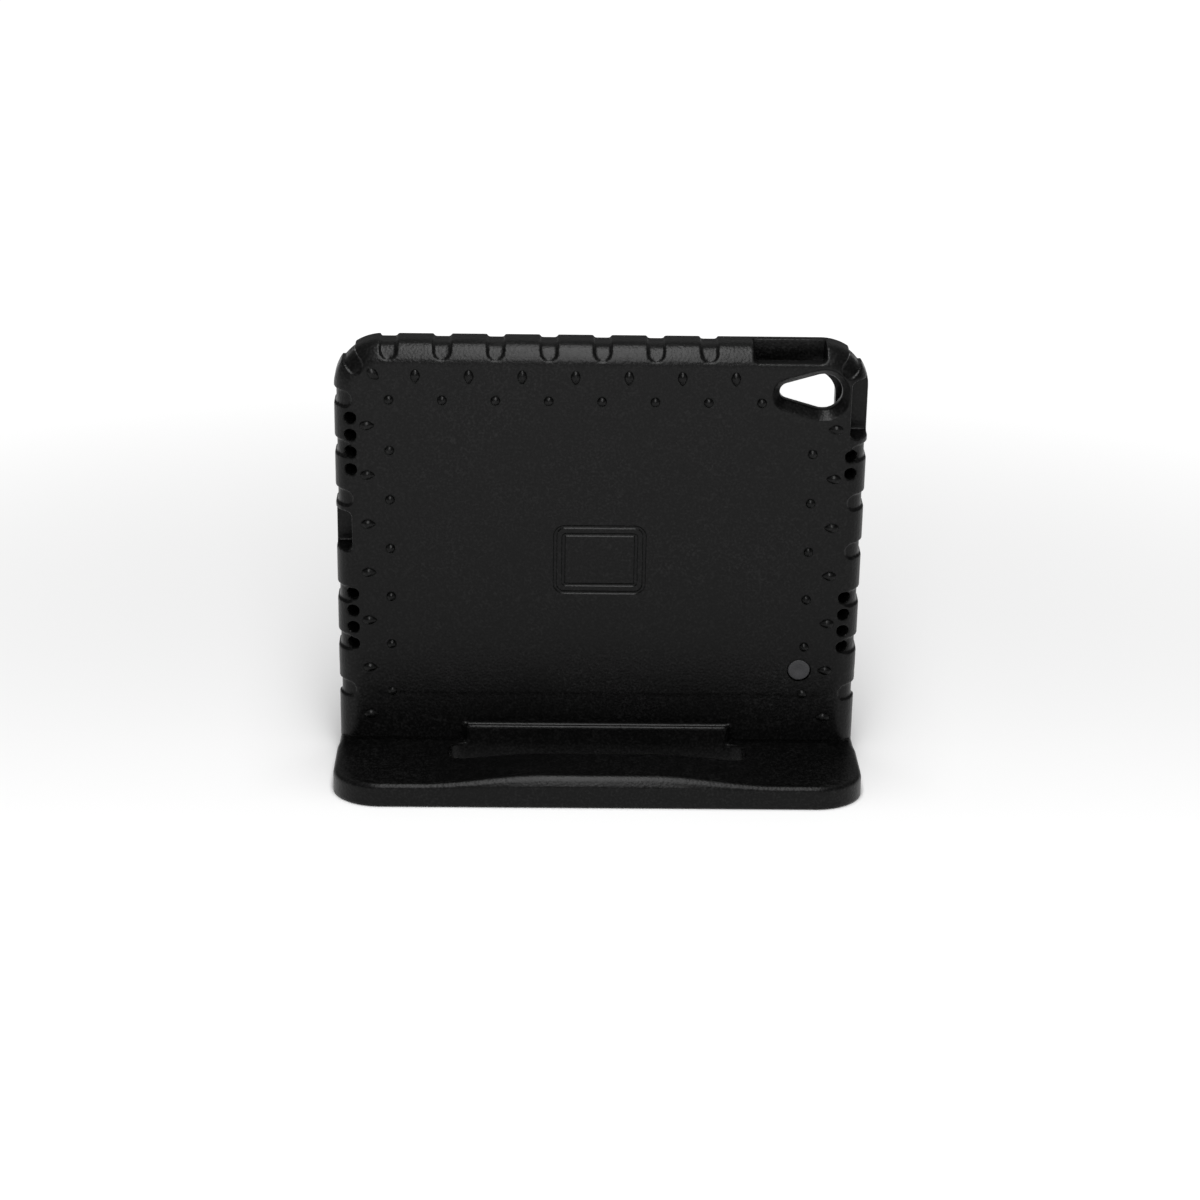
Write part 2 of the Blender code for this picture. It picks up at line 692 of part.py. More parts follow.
def plug_recess(collection, frame):
    """The round seat of the plug, open to the back."""
    depth = PLUG_SINK + PLUG_THICKNESS + PLUG_FLOOR_GAP
    bm = bmesh.new()
    add_cylinder(
        bm, (PLUG_X, (depth - PAST) / 2, TRAY_MIDDLE + PLUG_UP), "Y",
        PLUG_DIAMETER / 2 + PLUG_CLEARANCE, depth + PAST, WINDOW_SIDES,
    )
    return mesh_object("plug_recess", bm, collection, frame)


def make_plug(collection, frame, material):
    """The grey disc, with a chamfered outer rim, standing just below the back's surface."""
    bm = bmesh.new()
    add_cylinder(bm, (0, 0, 0), "Y", PLUG_DIAMETER / 2, PLUG_THICKNESS, WINDOW_SIDES)
    weigh_edges(bm, lambda co: near(co.y, -PLUG_THICKNESS / 2), 1.0)
    plug = mesh_object("round_plug", bm, collection, frame)
    plug.location = (PLUG_X, PLUG_SINK + PLUG_THICKNESS / 2, TRAY_MIDDLE + PLUG_UP)
    chamfer = plug.modifiers.new("chamfer", "BEVEL")
    chamfer.limit_method = "WEIGHT"
    chamfer.width = PLUG_CHAMFER
    chamfer.segments = 2
    plug.data.materials.append(material)
    return plug


def make_case(parts, helpers, frame, material):
    """The whole moulding: skin with grooves, filled by a core, with the foot, then every opening."""
    case = tray_block("foam_case", 0.0, parts, frame)
    case.data.materials.append(material)
    boolean(case, apron_block("apron", 0.0, helpers, frame), "UNION")
    boolean(case, notch_cutter(helpers, frame), "DIFFERENCE")
    core = tray_block("core", NOTCH_DEPTH, helpers, frame)
    boolean(core, apron_block("apron_core", NOTCH_DEPTH, helpers, frame), "UNION")
    boolean(case, core, "UNION")
    boolean(case, foot_block(helpers), "UNION")
    boolean(case, fold_fillet(helpers, frame), "UNION")
    boolean(case, rib_block(helpers, frame), "UNION")
    boolean(case, dot_domes(helpers, frame), "UNION")
    cutters = (
        *pocket_cutters(helpers, frame), *port_cutters(helpers, frame),
        speaker_cutter(helpers, frame), *camera_cutter(helpers, frame),
        *badge_lines(helpers, frame), plug_recess(helpers, frame), slot_cutter(helpers),
    )
    for cutter in cutters:
        boolean(case, cutter, "DIFFERENCE")
    return case


def main():
    clear_scene()
    parts = new_collection("kids_tablet_case")
    helpers = new_collection("cutters")
    frame = bpy.data.objects.new("panel_frame", None)
    frame.location = (0, FOLD_Y, FOOT_THICKNESS)
    frame.rotation_euler = (LEAN, 0, 0)
    parts.objects.link(frame)
    make_case(parts, helpers, frame, make_material("black_foam", FOAM_COLOUR, 0.5))
    make_plug(parts, frame, make_material("grey_plug", PLUG_COLOUR, 0.45))
    bpy.context.view_layer.update()


main()
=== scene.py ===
# %% [markdown]
# A kids tablet case in Blender. The real one is a single block of closed-cell foam, pressed hot in a
# mould: a tray round the tablet, a back panel, and a thick handle that folds back to be the stand.
# Moulded foam has no sharp edge anywhere, so the whole lesson works toward soft, even roundings.
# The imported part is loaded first. It is the frame that every piece here has to fit.

# %% Load the frame
import json
import math

import bmesh
import bpy
from mathutils import Matrix, Vector

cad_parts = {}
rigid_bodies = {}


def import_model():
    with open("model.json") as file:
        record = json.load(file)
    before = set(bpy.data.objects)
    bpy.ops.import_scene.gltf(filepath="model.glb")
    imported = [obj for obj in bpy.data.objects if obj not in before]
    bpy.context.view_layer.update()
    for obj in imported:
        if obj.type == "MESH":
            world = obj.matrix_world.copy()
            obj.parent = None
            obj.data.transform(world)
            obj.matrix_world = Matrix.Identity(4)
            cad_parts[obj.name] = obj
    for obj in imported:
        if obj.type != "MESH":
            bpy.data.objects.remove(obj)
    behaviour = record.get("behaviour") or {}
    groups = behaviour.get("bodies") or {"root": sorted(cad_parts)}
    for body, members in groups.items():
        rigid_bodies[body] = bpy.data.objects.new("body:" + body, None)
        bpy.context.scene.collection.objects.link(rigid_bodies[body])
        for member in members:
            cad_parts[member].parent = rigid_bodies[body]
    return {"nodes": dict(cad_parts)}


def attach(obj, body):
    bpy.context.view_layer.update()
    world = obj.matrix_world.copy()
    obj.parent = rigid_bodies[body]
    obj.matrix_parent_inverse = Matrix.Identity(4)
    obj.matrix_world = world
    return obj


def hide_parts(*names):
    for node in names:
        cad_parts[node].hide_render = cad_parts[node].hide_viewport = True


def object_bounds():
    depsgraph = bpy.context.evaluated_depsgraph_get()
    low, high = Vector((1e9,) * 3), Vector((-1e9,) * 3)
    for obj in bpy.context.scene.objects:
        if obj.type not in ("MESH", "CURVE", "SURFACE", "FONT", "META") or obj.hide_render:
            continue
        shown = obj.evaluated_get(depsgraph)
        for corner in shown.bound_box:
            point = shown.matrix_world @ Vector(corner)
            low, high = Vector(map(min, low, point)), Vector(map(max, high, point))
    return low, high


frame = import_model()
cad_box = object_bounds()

print("nodes:", sorted(frame["nodes"]))
print("frame box:", cad_box)

# %% [markdown]
# The camera comes before anything else, because it decides which details are worth making. A long lens
# from more than a metre and a half away keeps the two sides of the case almost parallel. It looks down
# by about nineteen degrees, stands a degree from square, and is rolled by almost a degree, as by hand.
# Its focal length was found in pixels of the picture, and is turned into millimetres of the sensor. A
# camera's own axes are right, up and backward, so the three are written as a matrix's columns.

# %% Camera
CAMERA_ELEVATION = math.radians(18.7)
CAMERA_YAW = math.radians(1.08)
CAMERA_ROLL = math.radians(0.84)
CAMERA_DISTANCE = 1.600
CAMERA_TARGET = Vector((0.0007, 0.0214, 0.0898))
SENSOR = 36.0
PICTURE_SIDE = 1200.0
FOCAL_PIXELS = 3085.0


def camera_axes():
    """The camera's right, up and forward directions."""
    forward = Vector((
        math.sin(CAMERA_YAW) * math.cos(CAMERA_ELEVATION),
        math.cos(CAMERA_YAW) * math.cos(CAMERA_ELEVATION),
        -math.sin(CAMERA_ELEVATION),
    ))
    level = Vector((math.cos(CAMERA_YAW), -math.sin(CAMERA_YAW), 0.0))
    upright = level.cross(forward)
    turn = Matrix.Rotation(-CAMERA_ROLL, 3, forward)
    return turn @ level, turn @ upright, forward


def make_camera():
    right, up, forward = camera_axes()
    data = bpy.data.cameras.new("camera")
    data.sensor_width = SENSOR
    data.lens = SENSOR * FOCAL_PIXELS / PICTURE_SIDE
    camera = bpy.data.objects.new("camera", data)
    place = Matrix((right, up, -forward)).transposed().to_4x4()
    place.translation = CAMERA_TARGET - CAMERA_DISTANCE * forward
    camera.matrix_world = place
    bpy.context.scene.collection.objects.link(camera)
    bpy.context.scene.camera = camera
    return camera


camera = make_camera()
print("camera at", [round(value, 3) for value in camera.matrix_world.translation])
print("lens", round(camera.data.lens, 1), "mm")

# %% [markdown]
# The case is two slabs that meet at the fold: the panel, which leans over the handle by a few degrees,
# and the handle, which lies flat on the floor. Each is easiest to draw straight, so the panel gets a
# frame of its own: x runs across, y from the back face toward the screen, and z up the panel from the
# fold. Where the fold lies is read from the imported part's box, so the fine model can't drift off it.

# %% The panel's own frame
LEAN = math.radians(5.0)
FOOT_THICKNESS = 0.0120
FOOT_DEPTH = 0.0650
fold_y = cad_box[0][1] + FOOT_DEPTH
panel = Matrix.Translation((0, fold_y, FOOT_THICKNESS)) @ Matrix.Rotation(LEAN, 4, "X")
print("fold at y", round(fold_y, 4))

# %% [markdown]
# All sizes of the tray follow from the tablet that it holds: the pocket is the tablet with a hair of
# room, and the wall, the back and the lip are added round it. The wall is thick, because it is the
# bumper. The apron below the tray is the foam that carries it.

# %% Sizes of the tray
TABLET = Vector((0.2480, 0.0070, 0.1790))
CLEARANCE = 0.0003
WALL = 0.0110
BACK_THICKNESS = 0.0095
LIP_THICKNESS = 0.0072
APRON_DROP = 0.0160

pocket_width = TABLET.x + 2 * CLEARANCE
pocket_height = TABLET.z + 2 * CLEARANCE
pocket_depth = TABLET.y + CLEARANCE
body_width = pocket_width + 2 * WALL
body_height = pocket_height + 2 * WALL
body_thickness = BACK_THICKNESS + pocket_depth + LIP_THICKNESS
middle = APRON_DROP + body_height / 2
print("tray", [round(1000 * size, 1) for size in (body_width, body_thickness, body_height)], "mm")

# %% [markdown]
# The body is cut and joined as a solid first, and gets its even skin later, which keeps its sizes exact.
# These helpers make a bmesh into an object, join or cut solids with a Boolean modifier, and test
# coordinates with a small tolerance. A cutter reaches past what it cuts, and a joined solid is buried in
# the other one, because two faces in one plane can spoil a Boolean.

# %% Helpers for solids
HAIR = 0.00001
PAST = 0.0040
BURY = 0.0040
helpers = bpy.data.collections.new("case_solids")
bpy.context.scene.collection.children.link(helpers)


def solid(name, bm, place=panel):
    """Makes an object of a closed bmesh, in the panel's frame or another one."""
    bmesh.ops.recalc_face_normals(bm, faces=bm.faces)
    mesh = bpy.data.meshes.new(name)
    bm.to_mesh(mesh)
    bm.free()
    made = bpy.data.objects.new(name, mesh)
    made.matrix_world = place
    helpers.objects.link(made)
    return made


def combine(target, operand, operation):
    """Joins a second solid to the first, or cuts it away."""
    modifier = target.modifiers.new(operand.name, "BOOLEAN")
    modifier.object = operand
    modifier.operation = operation
    modifier.solver = "EXACT"


def near(value, target):
    return abs(value - target) < HAIR


def even_shares(count):
    """Evenly spaced numbers from 0 to 1."""
    return [step / (count - 1) for step in range(count)]


def smooth_step(share):
    share = min(max(share, 0.0), 1.0)
    return share * share * (3 - 2 * share)


print("solids are kept in", helpers.name)

# %% [markdown]
# Most of the case is boxes with two kinds of rounding: an outline with round corners, seen from the
# back, and softened edges along that outline. A primitive cube is stretched to size and bevelled twice.
# The first bevel runs in bmesh. The second is a modifier that reads a weight on each edge, so the
# front edge can have a smaller rounding than the back edge in one pass.

# %% Rounded boxes
X, Y, Z = range(3)
CORNER_STEPS = 20
ROUNDING_STEPS = 8
ALONG = 0.99


def anywhere(_point):
    return True


def add_box(bm, low, high):
    low, high = Vector(low), Vector(high)
    place = Matrix.Translation((low + high) / 2) @ Matrix.Diagonal((*(high - low), 1.0))
    return bmesh.ops.create_cube(bm, size=1.0, matrix=place)["verts"]


def edges_along(verts, axis, where=anywhere):
    """The edges at these vertices that run along an axis, and whose middle passes the test."""
    found = []
    for edge in {edge for vert in verts for edge in vert.link_edges}:
        first, second = edge.verts[0].co, edge.verts[1].co
        if abs((first - second).normalized()[axis]) > ALONG and where((first + second) / 2):
            found.append(edge)
    return found


def add_rounded_box(bm, low, high, axis, radius, steps=CORNER_STEPS, where=anywhere):
    """Adds a box whose edges along one axis are rounded, all of them or those that pass a test."""
    edges = edges_along(add_box(bm, low, high), axis, where)
    bmesh.ops.bevel(bm, geom=edges, offset=radius, segments=steps, profile=0.5, affect="EDGES")


def weight_layer(bm):
    """The layer that the bevel modifier reads, made where the mesh has none yet."""
    layers = bm.edges.layers.float
    layer = layers.get("bevel_weight_edge")
    return layers.new("bevel_weight_edge") if layer is None else layer


def weigh(bm, where, weight):
    """Gives a bevel weight to each edge whose two ends pass the test."""
    layer = weight_layer(bm)
    for edge in bm.edges:
        if all(where(vert.co) for vert in edge.verts):
            edge[layer] = weight


def round_weighed(made, width):
    modifier = made.modifiers.new("rounded_edges", "BEVEL")
    modifier.limit_method = "WEIGHT"
    modifier.width = width
    modifier.segments = ROUNDING_STEPS
    modifier.use_clamp_overlap = False


trial = bmesh.new()
add_rounded_box(trial, (0, 0, 0), (1, 1, 1), Z, 0.25)
print("a box with four rounded edges has", len(trial.faces), "faces")
trial.free()

# %% [markdown]
# The grooves over the rim are shallow, a little over a millimetre, and all of them have a floor that
# follows the rim's own rounding. A cutter of that form would be hard to draw. It is easier the other
# way round: straight bars cut the whole skin away, and a core, the same shape drawn in by the groove's
# depth, fills the body again. So the tray and the apron below it are functions of an inset. Their back
# edge is rounded by about as much as the wall is thick, and their front edge by less.

# %% Tray and apron
CORNER_RADIUS = 0.0250
BACK_ROUNDING = 0.0115
FRONT_ROUNDING = 0.0042
APRON_THICKNESS = 0.0160
APRON_LAP = 0.0450
APRON_LIFT = 0.0003
APRON_INSET = 0.0001


def tray(name, inset):
    """The outside of the tray, or the same shape drawn in on every side by the inset."""
    half = body_width / 2 - inset
    back, front = inset, body_thickness - inset
    low, high = middle - body_height / 2 + inset, middle + body_height / 2 - inset
    bm = bmesh.new()
    add_rounded_box(bm, (-half, back, low), (half, front, high), Y, CORNER_RADIUS - inset)
    back_radius, front_radius = BACK_ROUNDING - inset, FRONT_ROUNDING - inset
    weigh(bm, lambda co: near(co.y, back), 1.0)
    weigh(bm, lambda co: near(co.y, front), front_radius / back_radius)
    made = solid(name, bm)
    round_weighed(made, back_radius)
    return made


def apron(name, inset):
    """The foam below the tray. Its top end is buried in the tray, and its lower end is level."""
    half = body_width / 2 - inset - APRON_INSET
    back, front = inset + APRON_INSET, APRON_THICKNESS - inset
    bm = bmesh.new()
    verts = add_box(bm, (-half, back, -FOOT_THICKNESS), (half, front, APRON_DROP + APRON_LAP))
    for vert in verts:
        if vert.co.z < 0:
            drop = FOOT_THICKNESS - APRON_LIFT - inset
            vert.co.z = -(drop + vert.co.y * math.sin(LEAN)) / math.cos(LEAN)
    back_radius, front_radius = BACK_ROUNDING - inset, FRONT_ROUNDING - inset
    layer = weight_layer(bm)
    for edge in edges_along(verts, Z):
        on_back = near(edge.verts[0].co.y, back)
        edge[layer] = 1.0 if on_back else front_radius / back_radius
    made = solid(name, bm)
    round_weighed(made, back_radius)
    return made


case = tray("case_skin", 0.0)
combine(case, apron("apron", 0.0), "UNION")
print("tray has", len(case.data.polygons), "faces before its edges are rounded")

# %% [markdown]
# The grooves sit one pitch apart along the top and both sides, and stop short of the openings. One more
# crosses each upper corner. Each place is the point on the outline, how far the groove reaches onto the
# back, and the way it points.

# %% Places of the grooves
PITCH = 0.0268
GROOVE_WIDTH = 0.0087
GROOVE_REACH_TOP = 0.0075
GROOVE_REACH_SIDE = 0.0095
ROW_UP = -0.0085
CHARGE_LENGTH = 0.0220
POWER_LENGTH = 0.0309
POWER_FROM_TOP = 0.0213
VOLUME_LENGTH = 0.0367
VOLUME_FROM_SIDE = 0.0300
power_centre = TABLET.z / 2 - POWER_FROM_TOP
volume_centre = TABLET.x / 2 - VOLUME_FROM_SIDE
top, side = body_height / 2, body_width / 2


def steps_between(low, high, start):
    """The places one pitch apart between two limits, with one of them at the start."""
    first, last = math.ceil((low - start) / PITCH), math.floor((high - start) / PITCH)
    return [start + step * PITCH for step in range(first, last + 1)]


def groove_places():
    """Each groove as (x, height above the tray's middle, reach, turn)."""
    volume_start = volume_centre - VOLUME_LENGTH / 2
    power_start = power_centre - POWER_LENGTH / 2
    places = []
    for x in steps_between(CORNER_RADIUS - side, volume_start - GROOVE_WIDTH, 0):
        places.append((x, top, GROOVE_REACH_TOP, -90))
    for height in steps_between(GROOVE_WIDTH - top, top - CORNER_RADIUS, ROW_UP):
        if height < power_start - GROOVE_WIDTH / 2:
            places.append((side, height, GROOVE_REACH_SIDE, 180))
        if abs(height) > (CHARGE_LENGTH + GROOVE_WIDTH) / 2:
            places.append((-side, height, GROOVE_REACH_SIDE, 0))
    arc = CORNER_RADIUS * (1 - math.sqrt(0.5))
    places.append((arc - side, top - arc, GROOVE_REACH_SIDE, -45))
    places.append((side - arc, top - arc, GROOVE_REACH_SIDE, -135))
    return places


print("grooves:", len(groove_places()))

# %% [markdown]
# A groove is cut by a bar with a round inner end, laid over the rim and turned to its side. Each bar is
# drawn in a bmesh of its own, where its ends are easy to find, and all are gathered in one solid, so
# that a single Boolean cuts them. The core then fills the body again, up to the floor of the grooves.

# %% Groove bars and core
GROOVE_DEPTH = 0.0013
GROOVE_END_ROUNDING = 0.96


def add_copy(bm, other):
    """Moves another bmesh's shape into this one."""
    mesh = bpy.data.meshes.new("shape")
    other.to_mesh(mesh)
    other.free()
    bm.from_mesh(mesh)
    bpy.data.meshes.remove(mesh)


def groove_bars():
    bm = bmesh.new()
    half = GROOVE_WIDTH / 2
    for x, height, reach, turn in groove_places():
        bar = bmesh.new()
        add_rounded_box(
            bar, (-PAST, -PAST, -half), (reach, body_thickness + PAST, half), Y,
            GROOVE_END_ROUNDING * half, ROUNDING_STEPS, lambda point, end=reach: near(point.x, end),
        )
        place = Matrix.Translation((x, 0, middle + height))
        turned = place @ Matrix.Rotation(math.radians(-turn), 4, "Y")
        bmesh.ops.transform(bar, verts=bar.verts, matrix=turned)
        add_copy(bm, bar)
    return solid("groove_bars", bm)


combine(case, groove_bars(), "DIFFERENCE")
core = tray("core", GROOVE_DEPTH)
combine(core, apron("apron_core", GROOVE_DEPTH), "UNION")
combine(case, core, "UNION")
print("steps on the case so far:", [modifier.name for modifier in case.modifiers])

# %% [markdown]
# The handle is a slab with two round corners. It is drawn flat first. Wherever it has to bend later it
# is sliced across, because a mesh can only bend where it has points.

# %% Flat slab of the handle
FOOT_OVERHANG = 0.0005
FOOT_CORNER = 0.0250
FOOT_WIDENING = 0.0110
FOOT_TOP_ROUNDING = 0.0025
CREASE_BELOW_ROUNDING = 0.0004
GRIP_FLAT = 0.0560
GRIP_LENGTH = 0.1860
GRIP_STATIONS = 25
WIDENING_STATIONS = 9
SLOT_SETBACK = 0.0050
SLOT_WIDTH = 0.0256
foot_half = body_width / 2 + FOOT_OVERHANG
foot_tip = fold_y - FOOT_DEPTH
foot_crease = FOOT_THICKNESS - FOOT_TOP_ROUNDING - CREASE_BELOW_ROUNDING


def slice_at(bm, axis, places):
    """Divides a solid's faces by planes across one axis."""
    normal = Vector((0, 0, 0))
    normal[axis] = 1.0
    for place in places:
        geometry = list(bm.verts) + list(bm.edges) + list(bm.faces)
        bmesh.ops.bisect_plane(bm, geom=geometry, plane_co=normal * place, plane_no=normal)


def sliced_slab():
    end = fold_y + APRON_THICKNESS - FRONT_ROUNDING
    bm = bmesh.new()
    add_rounded_box(
        bm, (-foot_half, foot_tip, 0), (foot_half, end, FOOT_THICKNESS), Z,
        FOOT_CORNER, CORNER_STEPS, lambda point: near(point.y, foot_tip),
    )
    slope = (GRIP_LENGTH - GRIP_FLAT) / 2
    stations = [GRIP_FLAT / 2 + slope * share for share in even_shares(GRIP_STATIONS)]
    slice_at(bm, X, stations + [-station for station in stations])
    slice_at(bm, Y, [fold_y - FOOT_WIDENING * share for share in even_shares(WIDENING_STATIONS)])
    slice_at(bm, Y, [fold_y - SLOT_SETBACK - SLOT_WIDTH])
    slice_at(bm, Z, [foot_crease])
    return bm


slab = sliced_slab()
print("the flat slab has", len(slab.verts), "points")

# %% [markdown]
# The handle's middle is thicker, for the hand: the top swells on a smooth curve, and the near edge draws
# back a little there. Each point is raised by how far along the curve it lies. At the fold the slab is
# as wide as the panel, and it widens a little over its first centimetre. Only the edges on the outline
# are rounded, so these are found and weighed while the slab is still flat.

# %% Folded handle
FOOT_SOLE_ROUNDING = 0.0012
FOOT_TUCK = 0.0002
GRIP_RISE = 0.0045
GRIP_SETBACK = 0.0024
GRIP_CREASE = 0.0113
RIM_SHARE = 0.99


def grip_share(x):
    """1 in the middle of the grip, 0 past its ends, on a smooth curve between."""
    return smooth_step((GRIP_LENGTH / 2 - abs(x)) / ((GRIP_LENGTH - GRIP_FLAT) / 2))


def on_rim(point):
    """True on the foot's outline: its two sides, its near edge and the round corners between."""
    past_x = abs(point.x) - (foot_half - FOOT_CORNER)
    past_y = foot_tip + FOOT_CORNER - point.y
    if past_x > -HAIR and past_y > -HAIR:
        return math.hypot(past_x, past_y) > FOOT_CORNER * RIM_SHARE
    return near(abs(point.x), foot_half) or near(point.y, foot_tip)


def bend(bm):
    """Raises the grip, draws its near edge back, and narrows the slab at the fold."""
    inner_half = body_width / 2 - FOOT_TUCK
    for vert in bm.verts:
        share = grip_share(vert.co.x)
        fade = smooth_step((fold_y - SLOT_SETBACK - vert.co.y) / SLOT_WIDTH)
        if near(vert.co.z, FOOT_THICKNESS):
            vert.co.z += GRIP_RISE * share * fade
            if near(vert.co.y, foot_tip):
                vert.co.y += GRIP_SETBACK * share
        elif near(vert.co.z, foot_crease):
            vert.co.z += (GRIP_CREASE - foot_crease) * share * fade
        wide = smooth_step((fold_y - vert.co.y) / FOOT_WIDENING)
        vert.co.x *= (inner_half + (foot_half - inner_half) * wide) / foot_half


weigh(slab, lambda co: near(co.z, FOOT_THICKNESS) and on_rim(co), 1.0)
weigh(slab, lambda co: near(co.z, 0) and on_rim(co), FOOT_SOLE_ROUNDING / FOOT_TOP_ROUNDING)
bend(slab)
handle = solid("folded_handle", slab, Matrix.Identity(4))
round_weighed(handle, FOOT_TOP_ROUNDING)
combine(case, handle, "UNION")
print("handle", round(1000 * 2 * foot_half, 1), "mm wide")

# %% [markdown]
# The handle meets the panel in a plain crease, because the fold is a thin strip of the same foam. A low
# rib stands there along the slot's far side, upright like the slot's wall. Its top falls toward the
# panel, so only its upper edge catches the light, as one thin line. It thins almost to nothing at both
# ends.

# %% Rib over the fold
RIB_SETBACK = 0.0049
RIB_HEIGHT = 0.0106
RIB_FALL = 0.0050
RIB_LENGTH = 0.1430
RIB_TAPER = 0.0045
RIB_END_SHARE = 0.1
RIB_ROUNDING = 0.0024
RIB_STATIONS = 9


def slot_rib():
    half = RIB_LENGTH / 2
    bm = bmesh.new()
    verts = add_box(bm, (-half, -RIB_SETBACK, -BURY), (half, BURY, RIB_HEIGHT))
    layer = weight_layer(bm)
    for edge in edges_along(verts, X):
        if near(edge.verts[0].co.z, RIB_HEIGHT) and near(edge.verts[0].co.y, -RIB_SETBACK):
            edge[layer] = 1.0
    stations = [half - RIB_TAPER * share for share in even_shares(RIB_STATIONS)[1:]]
    slice_at(bm, X, stations + [-station for station in stations])
    for vert in bm.verts:
        if vert.co.y > 0 and near(vert.co.z, RIB_HEIGHT):
            vert.co.z -= RIB_FALL
        if vert.co.y < 0:
            share = smooth_step((half - abs(vert.co.x)) / RIB_TAPER)
            vert.co.y *= RIB_END_SHARE + (1 - RIB_END_SHARE) * share
    made = solid("slot_rib", bm, Matrix.Translation((0, fold_y, FOOT_THICKNESS)))
    round_weighed(made, RIB_ROUNDING)
    return made


combine(case, slot_rib(), "UNION")
print("rib", round(1000 * RIB_LENGTH, 1), "mm long and", round(1000 * RIB_HEIGHT, 1), "mm high")

# %% [markdown]
# Everything that is open comes next. The pocket takes the tablet, and the lip in front of it holds the
# glass, so the pocket and the smaller window in front of it are two cutters.

# %% Pocket and screen window
TABLET_CORNER = 0.0180
LIP_REACH = 0.0055
pocket_front = BACK_THICKNESS + pocket_depth


def pocket():
    half, rise = pocket_width / 2, pocket_height / 2
    bm = bmesh.new()
    add_rounded_box(
        bm, (-half, BACK_THICKNESS, middle - rise), (half, pocket_front, middle + rise), Y,
        TABLET_CORNER + CLEARANCE,
    )
    return solid("tablet_pocket", bm)


def window():
    half, rise = pocket_width / 2 - LIP_REACH, pocket_height / 2 - LIP_REACH
    bm = bmesh.new()
    add_rounded_box(
        bm, (-half, pocket_front - PAST, middle - rise), (half, body_thickness + PAST, middle + rise),
        Y, TABLET_CORNER + CLEARANCE - LIP_REACH,
    )
    return solid("screen_window", bm)


for cutter in (pocket(), window()):
    combine(case, cutter, "DIFFERENCE")
print("pocket", round(1000 * pocket_width, 1), "by", round(1000 * pocket_height, 1), "mm")

# %% [markdown]
# Each port has a wide bay on the back's edge, for a fingertip or a plug's body, and a slot through the
# wall behind it. The bay's inner corners are round, and the slot is narrower than the bay by a hair, so
# that no two of their faces lie in one plane.

# %% Ports
CHARGE_REACH = 0.0086
POWER_REACH = 0.0097
VOLUME_REACH = 0.0078
PORT_CORNER = 0.0030
PORT_DEEPER = 0.0015


def port_cutters():
    """The bays and the slots of the charging port, the power button and the volume buttons."""
    bays, slots = bmesh.new(), bmesh.new()
    wall_back = BACK_THICKNESS - PORT_DEEPER
    ports = (
        (-1, 0.0, CHARGE_LENGTH, CHARGE_REACH),
        (1, power_centre, POWER_LENGTH, POWER_REACH),
    )
    for outward, centre, length, reach in ports:
        edge = outward * side
        low_z, high_z = middle + centre - length / 2, middle + centre + length / 2
        outer, bay, slot = edge + outward * PAST, edge - outward * reach, edge - outward * (WALL + PAST)
        bay_low, bay_high = sorted((outer, bay))
        add_rounded_box(
            bays, (bay_low, -PAST, low_z), (bay_high, BACK_THICKNESS, high_z), Y,
            PORT_CORNER, ROUNDING_STEPS, lambda point, end=bay: near(point.x, end),
        )
        slot_low, slot_high = sorted((outer, slot))
        add_box(slots, (slot_low, wall_back, low_z + HAIR), (slot_high, pocket_front, high_z - HAIR))
    low_x, high_x = volume_centre - VOLUME_LENGTH / 2, volume_centre + VOLUME_LENGTH / 2
    upper, bay = middle + top + PAST, middle + top - VOLUME_REACH
    add_rounded_box(
        bays, (low_x, -PAST, bay), (high_x, BACK_THICKNESS, upper), Y,
        PORT_CORNER, ROUNDING_STEPS, lambda point: near(point.z, bay),
    )
    add_box(
        slots, (low_x + HAIR, wall_back, middle + top - WALL - PAST),
        (high_x - HAIR, pocket_front, upper),
    )
    return solid("port_bays", bays), solid("port_slots", slots)


for cutter in port_cutters():
    combine(case, cutter, "DIFFERENCE")
print("ports", [round(1000 * length, 1) for length in (CHARGE_LENGTH, POWER_LENGTH, VOLUME_LENGTH)], "mm")

# %% [markdown]
# The small round holes let the speakers be heard. They stand in rows of four along both sides, but the
# upper row at the right is shorter, because the power button's bay is there. They end in the wall
# beside the tablet's edge, and open into the pocket there.

# %% Speaker holes
SPEAKER_DIAMETER = 0.0062
SPEAKER_PITCH = 0.0093
SPEAKER_INSET = 0.0086
SPEAKER_FIRST = 0.0344
SPEAKER_DEPTH_SHARE = 0.6
SPEAKER_COUNT = 4
HOLE_SIDES = 48


def add_cylinder(bm, centre, radius, length, radius_end=None):
    """Adds a cylinder along Y, or a cone with another radius at its far end."""
    bmesh.ops.create_cone(
        bm, cap_ends=True, segments=HOLE_SIDES, radius1=radius,
        radius2=radius if radius_end is None else radius_end, depth=length,
        matrix=Matrix.Translation(centre) @ Matrix.Rotation(-math.pi / 2, 4, "X"),
    )


def speaker_places():
    inset = side - SPEAKER_INSET
    places = []
    for step in range(SPEAKER_COUNT):
        height = SPEAKER_FIRST + step * SPEAKER_PITCH
        places += [(-inset, height), (-inset, -height), (inset, -height)]
        if height + SPEAKER_DIAMETER < power_centre - POWER_LENGTH / 2:
            places.append((inset, height))
    return places


def speaker_holes():
    bm = bmesh.new()
    depth = PAST + BACK_THICKNESS + pocket_depth * SPEAKER_DEPTH_SHARE
    for x, height in speaker_places():
        add_cylinder(bm, (x, depth / 2 - PAST, middle + height), SPEAKER_DIAMETER / 2, depth)
    return solid("speaker_holes", bm)


combine(case, speaker_holes(), "DIFFERENCE")
print("speaker holes:", len(speaker_places()))

# %% [markdown]
# The camera window has the form of a pear, wide at the lens and narrow at the flash, and is flared so
# that the foam doesn't shade the lens. Two cones give that form: the hull round both of them is the
# cutter. The flare stops half way, and a straight throat goes through the rest of the back.

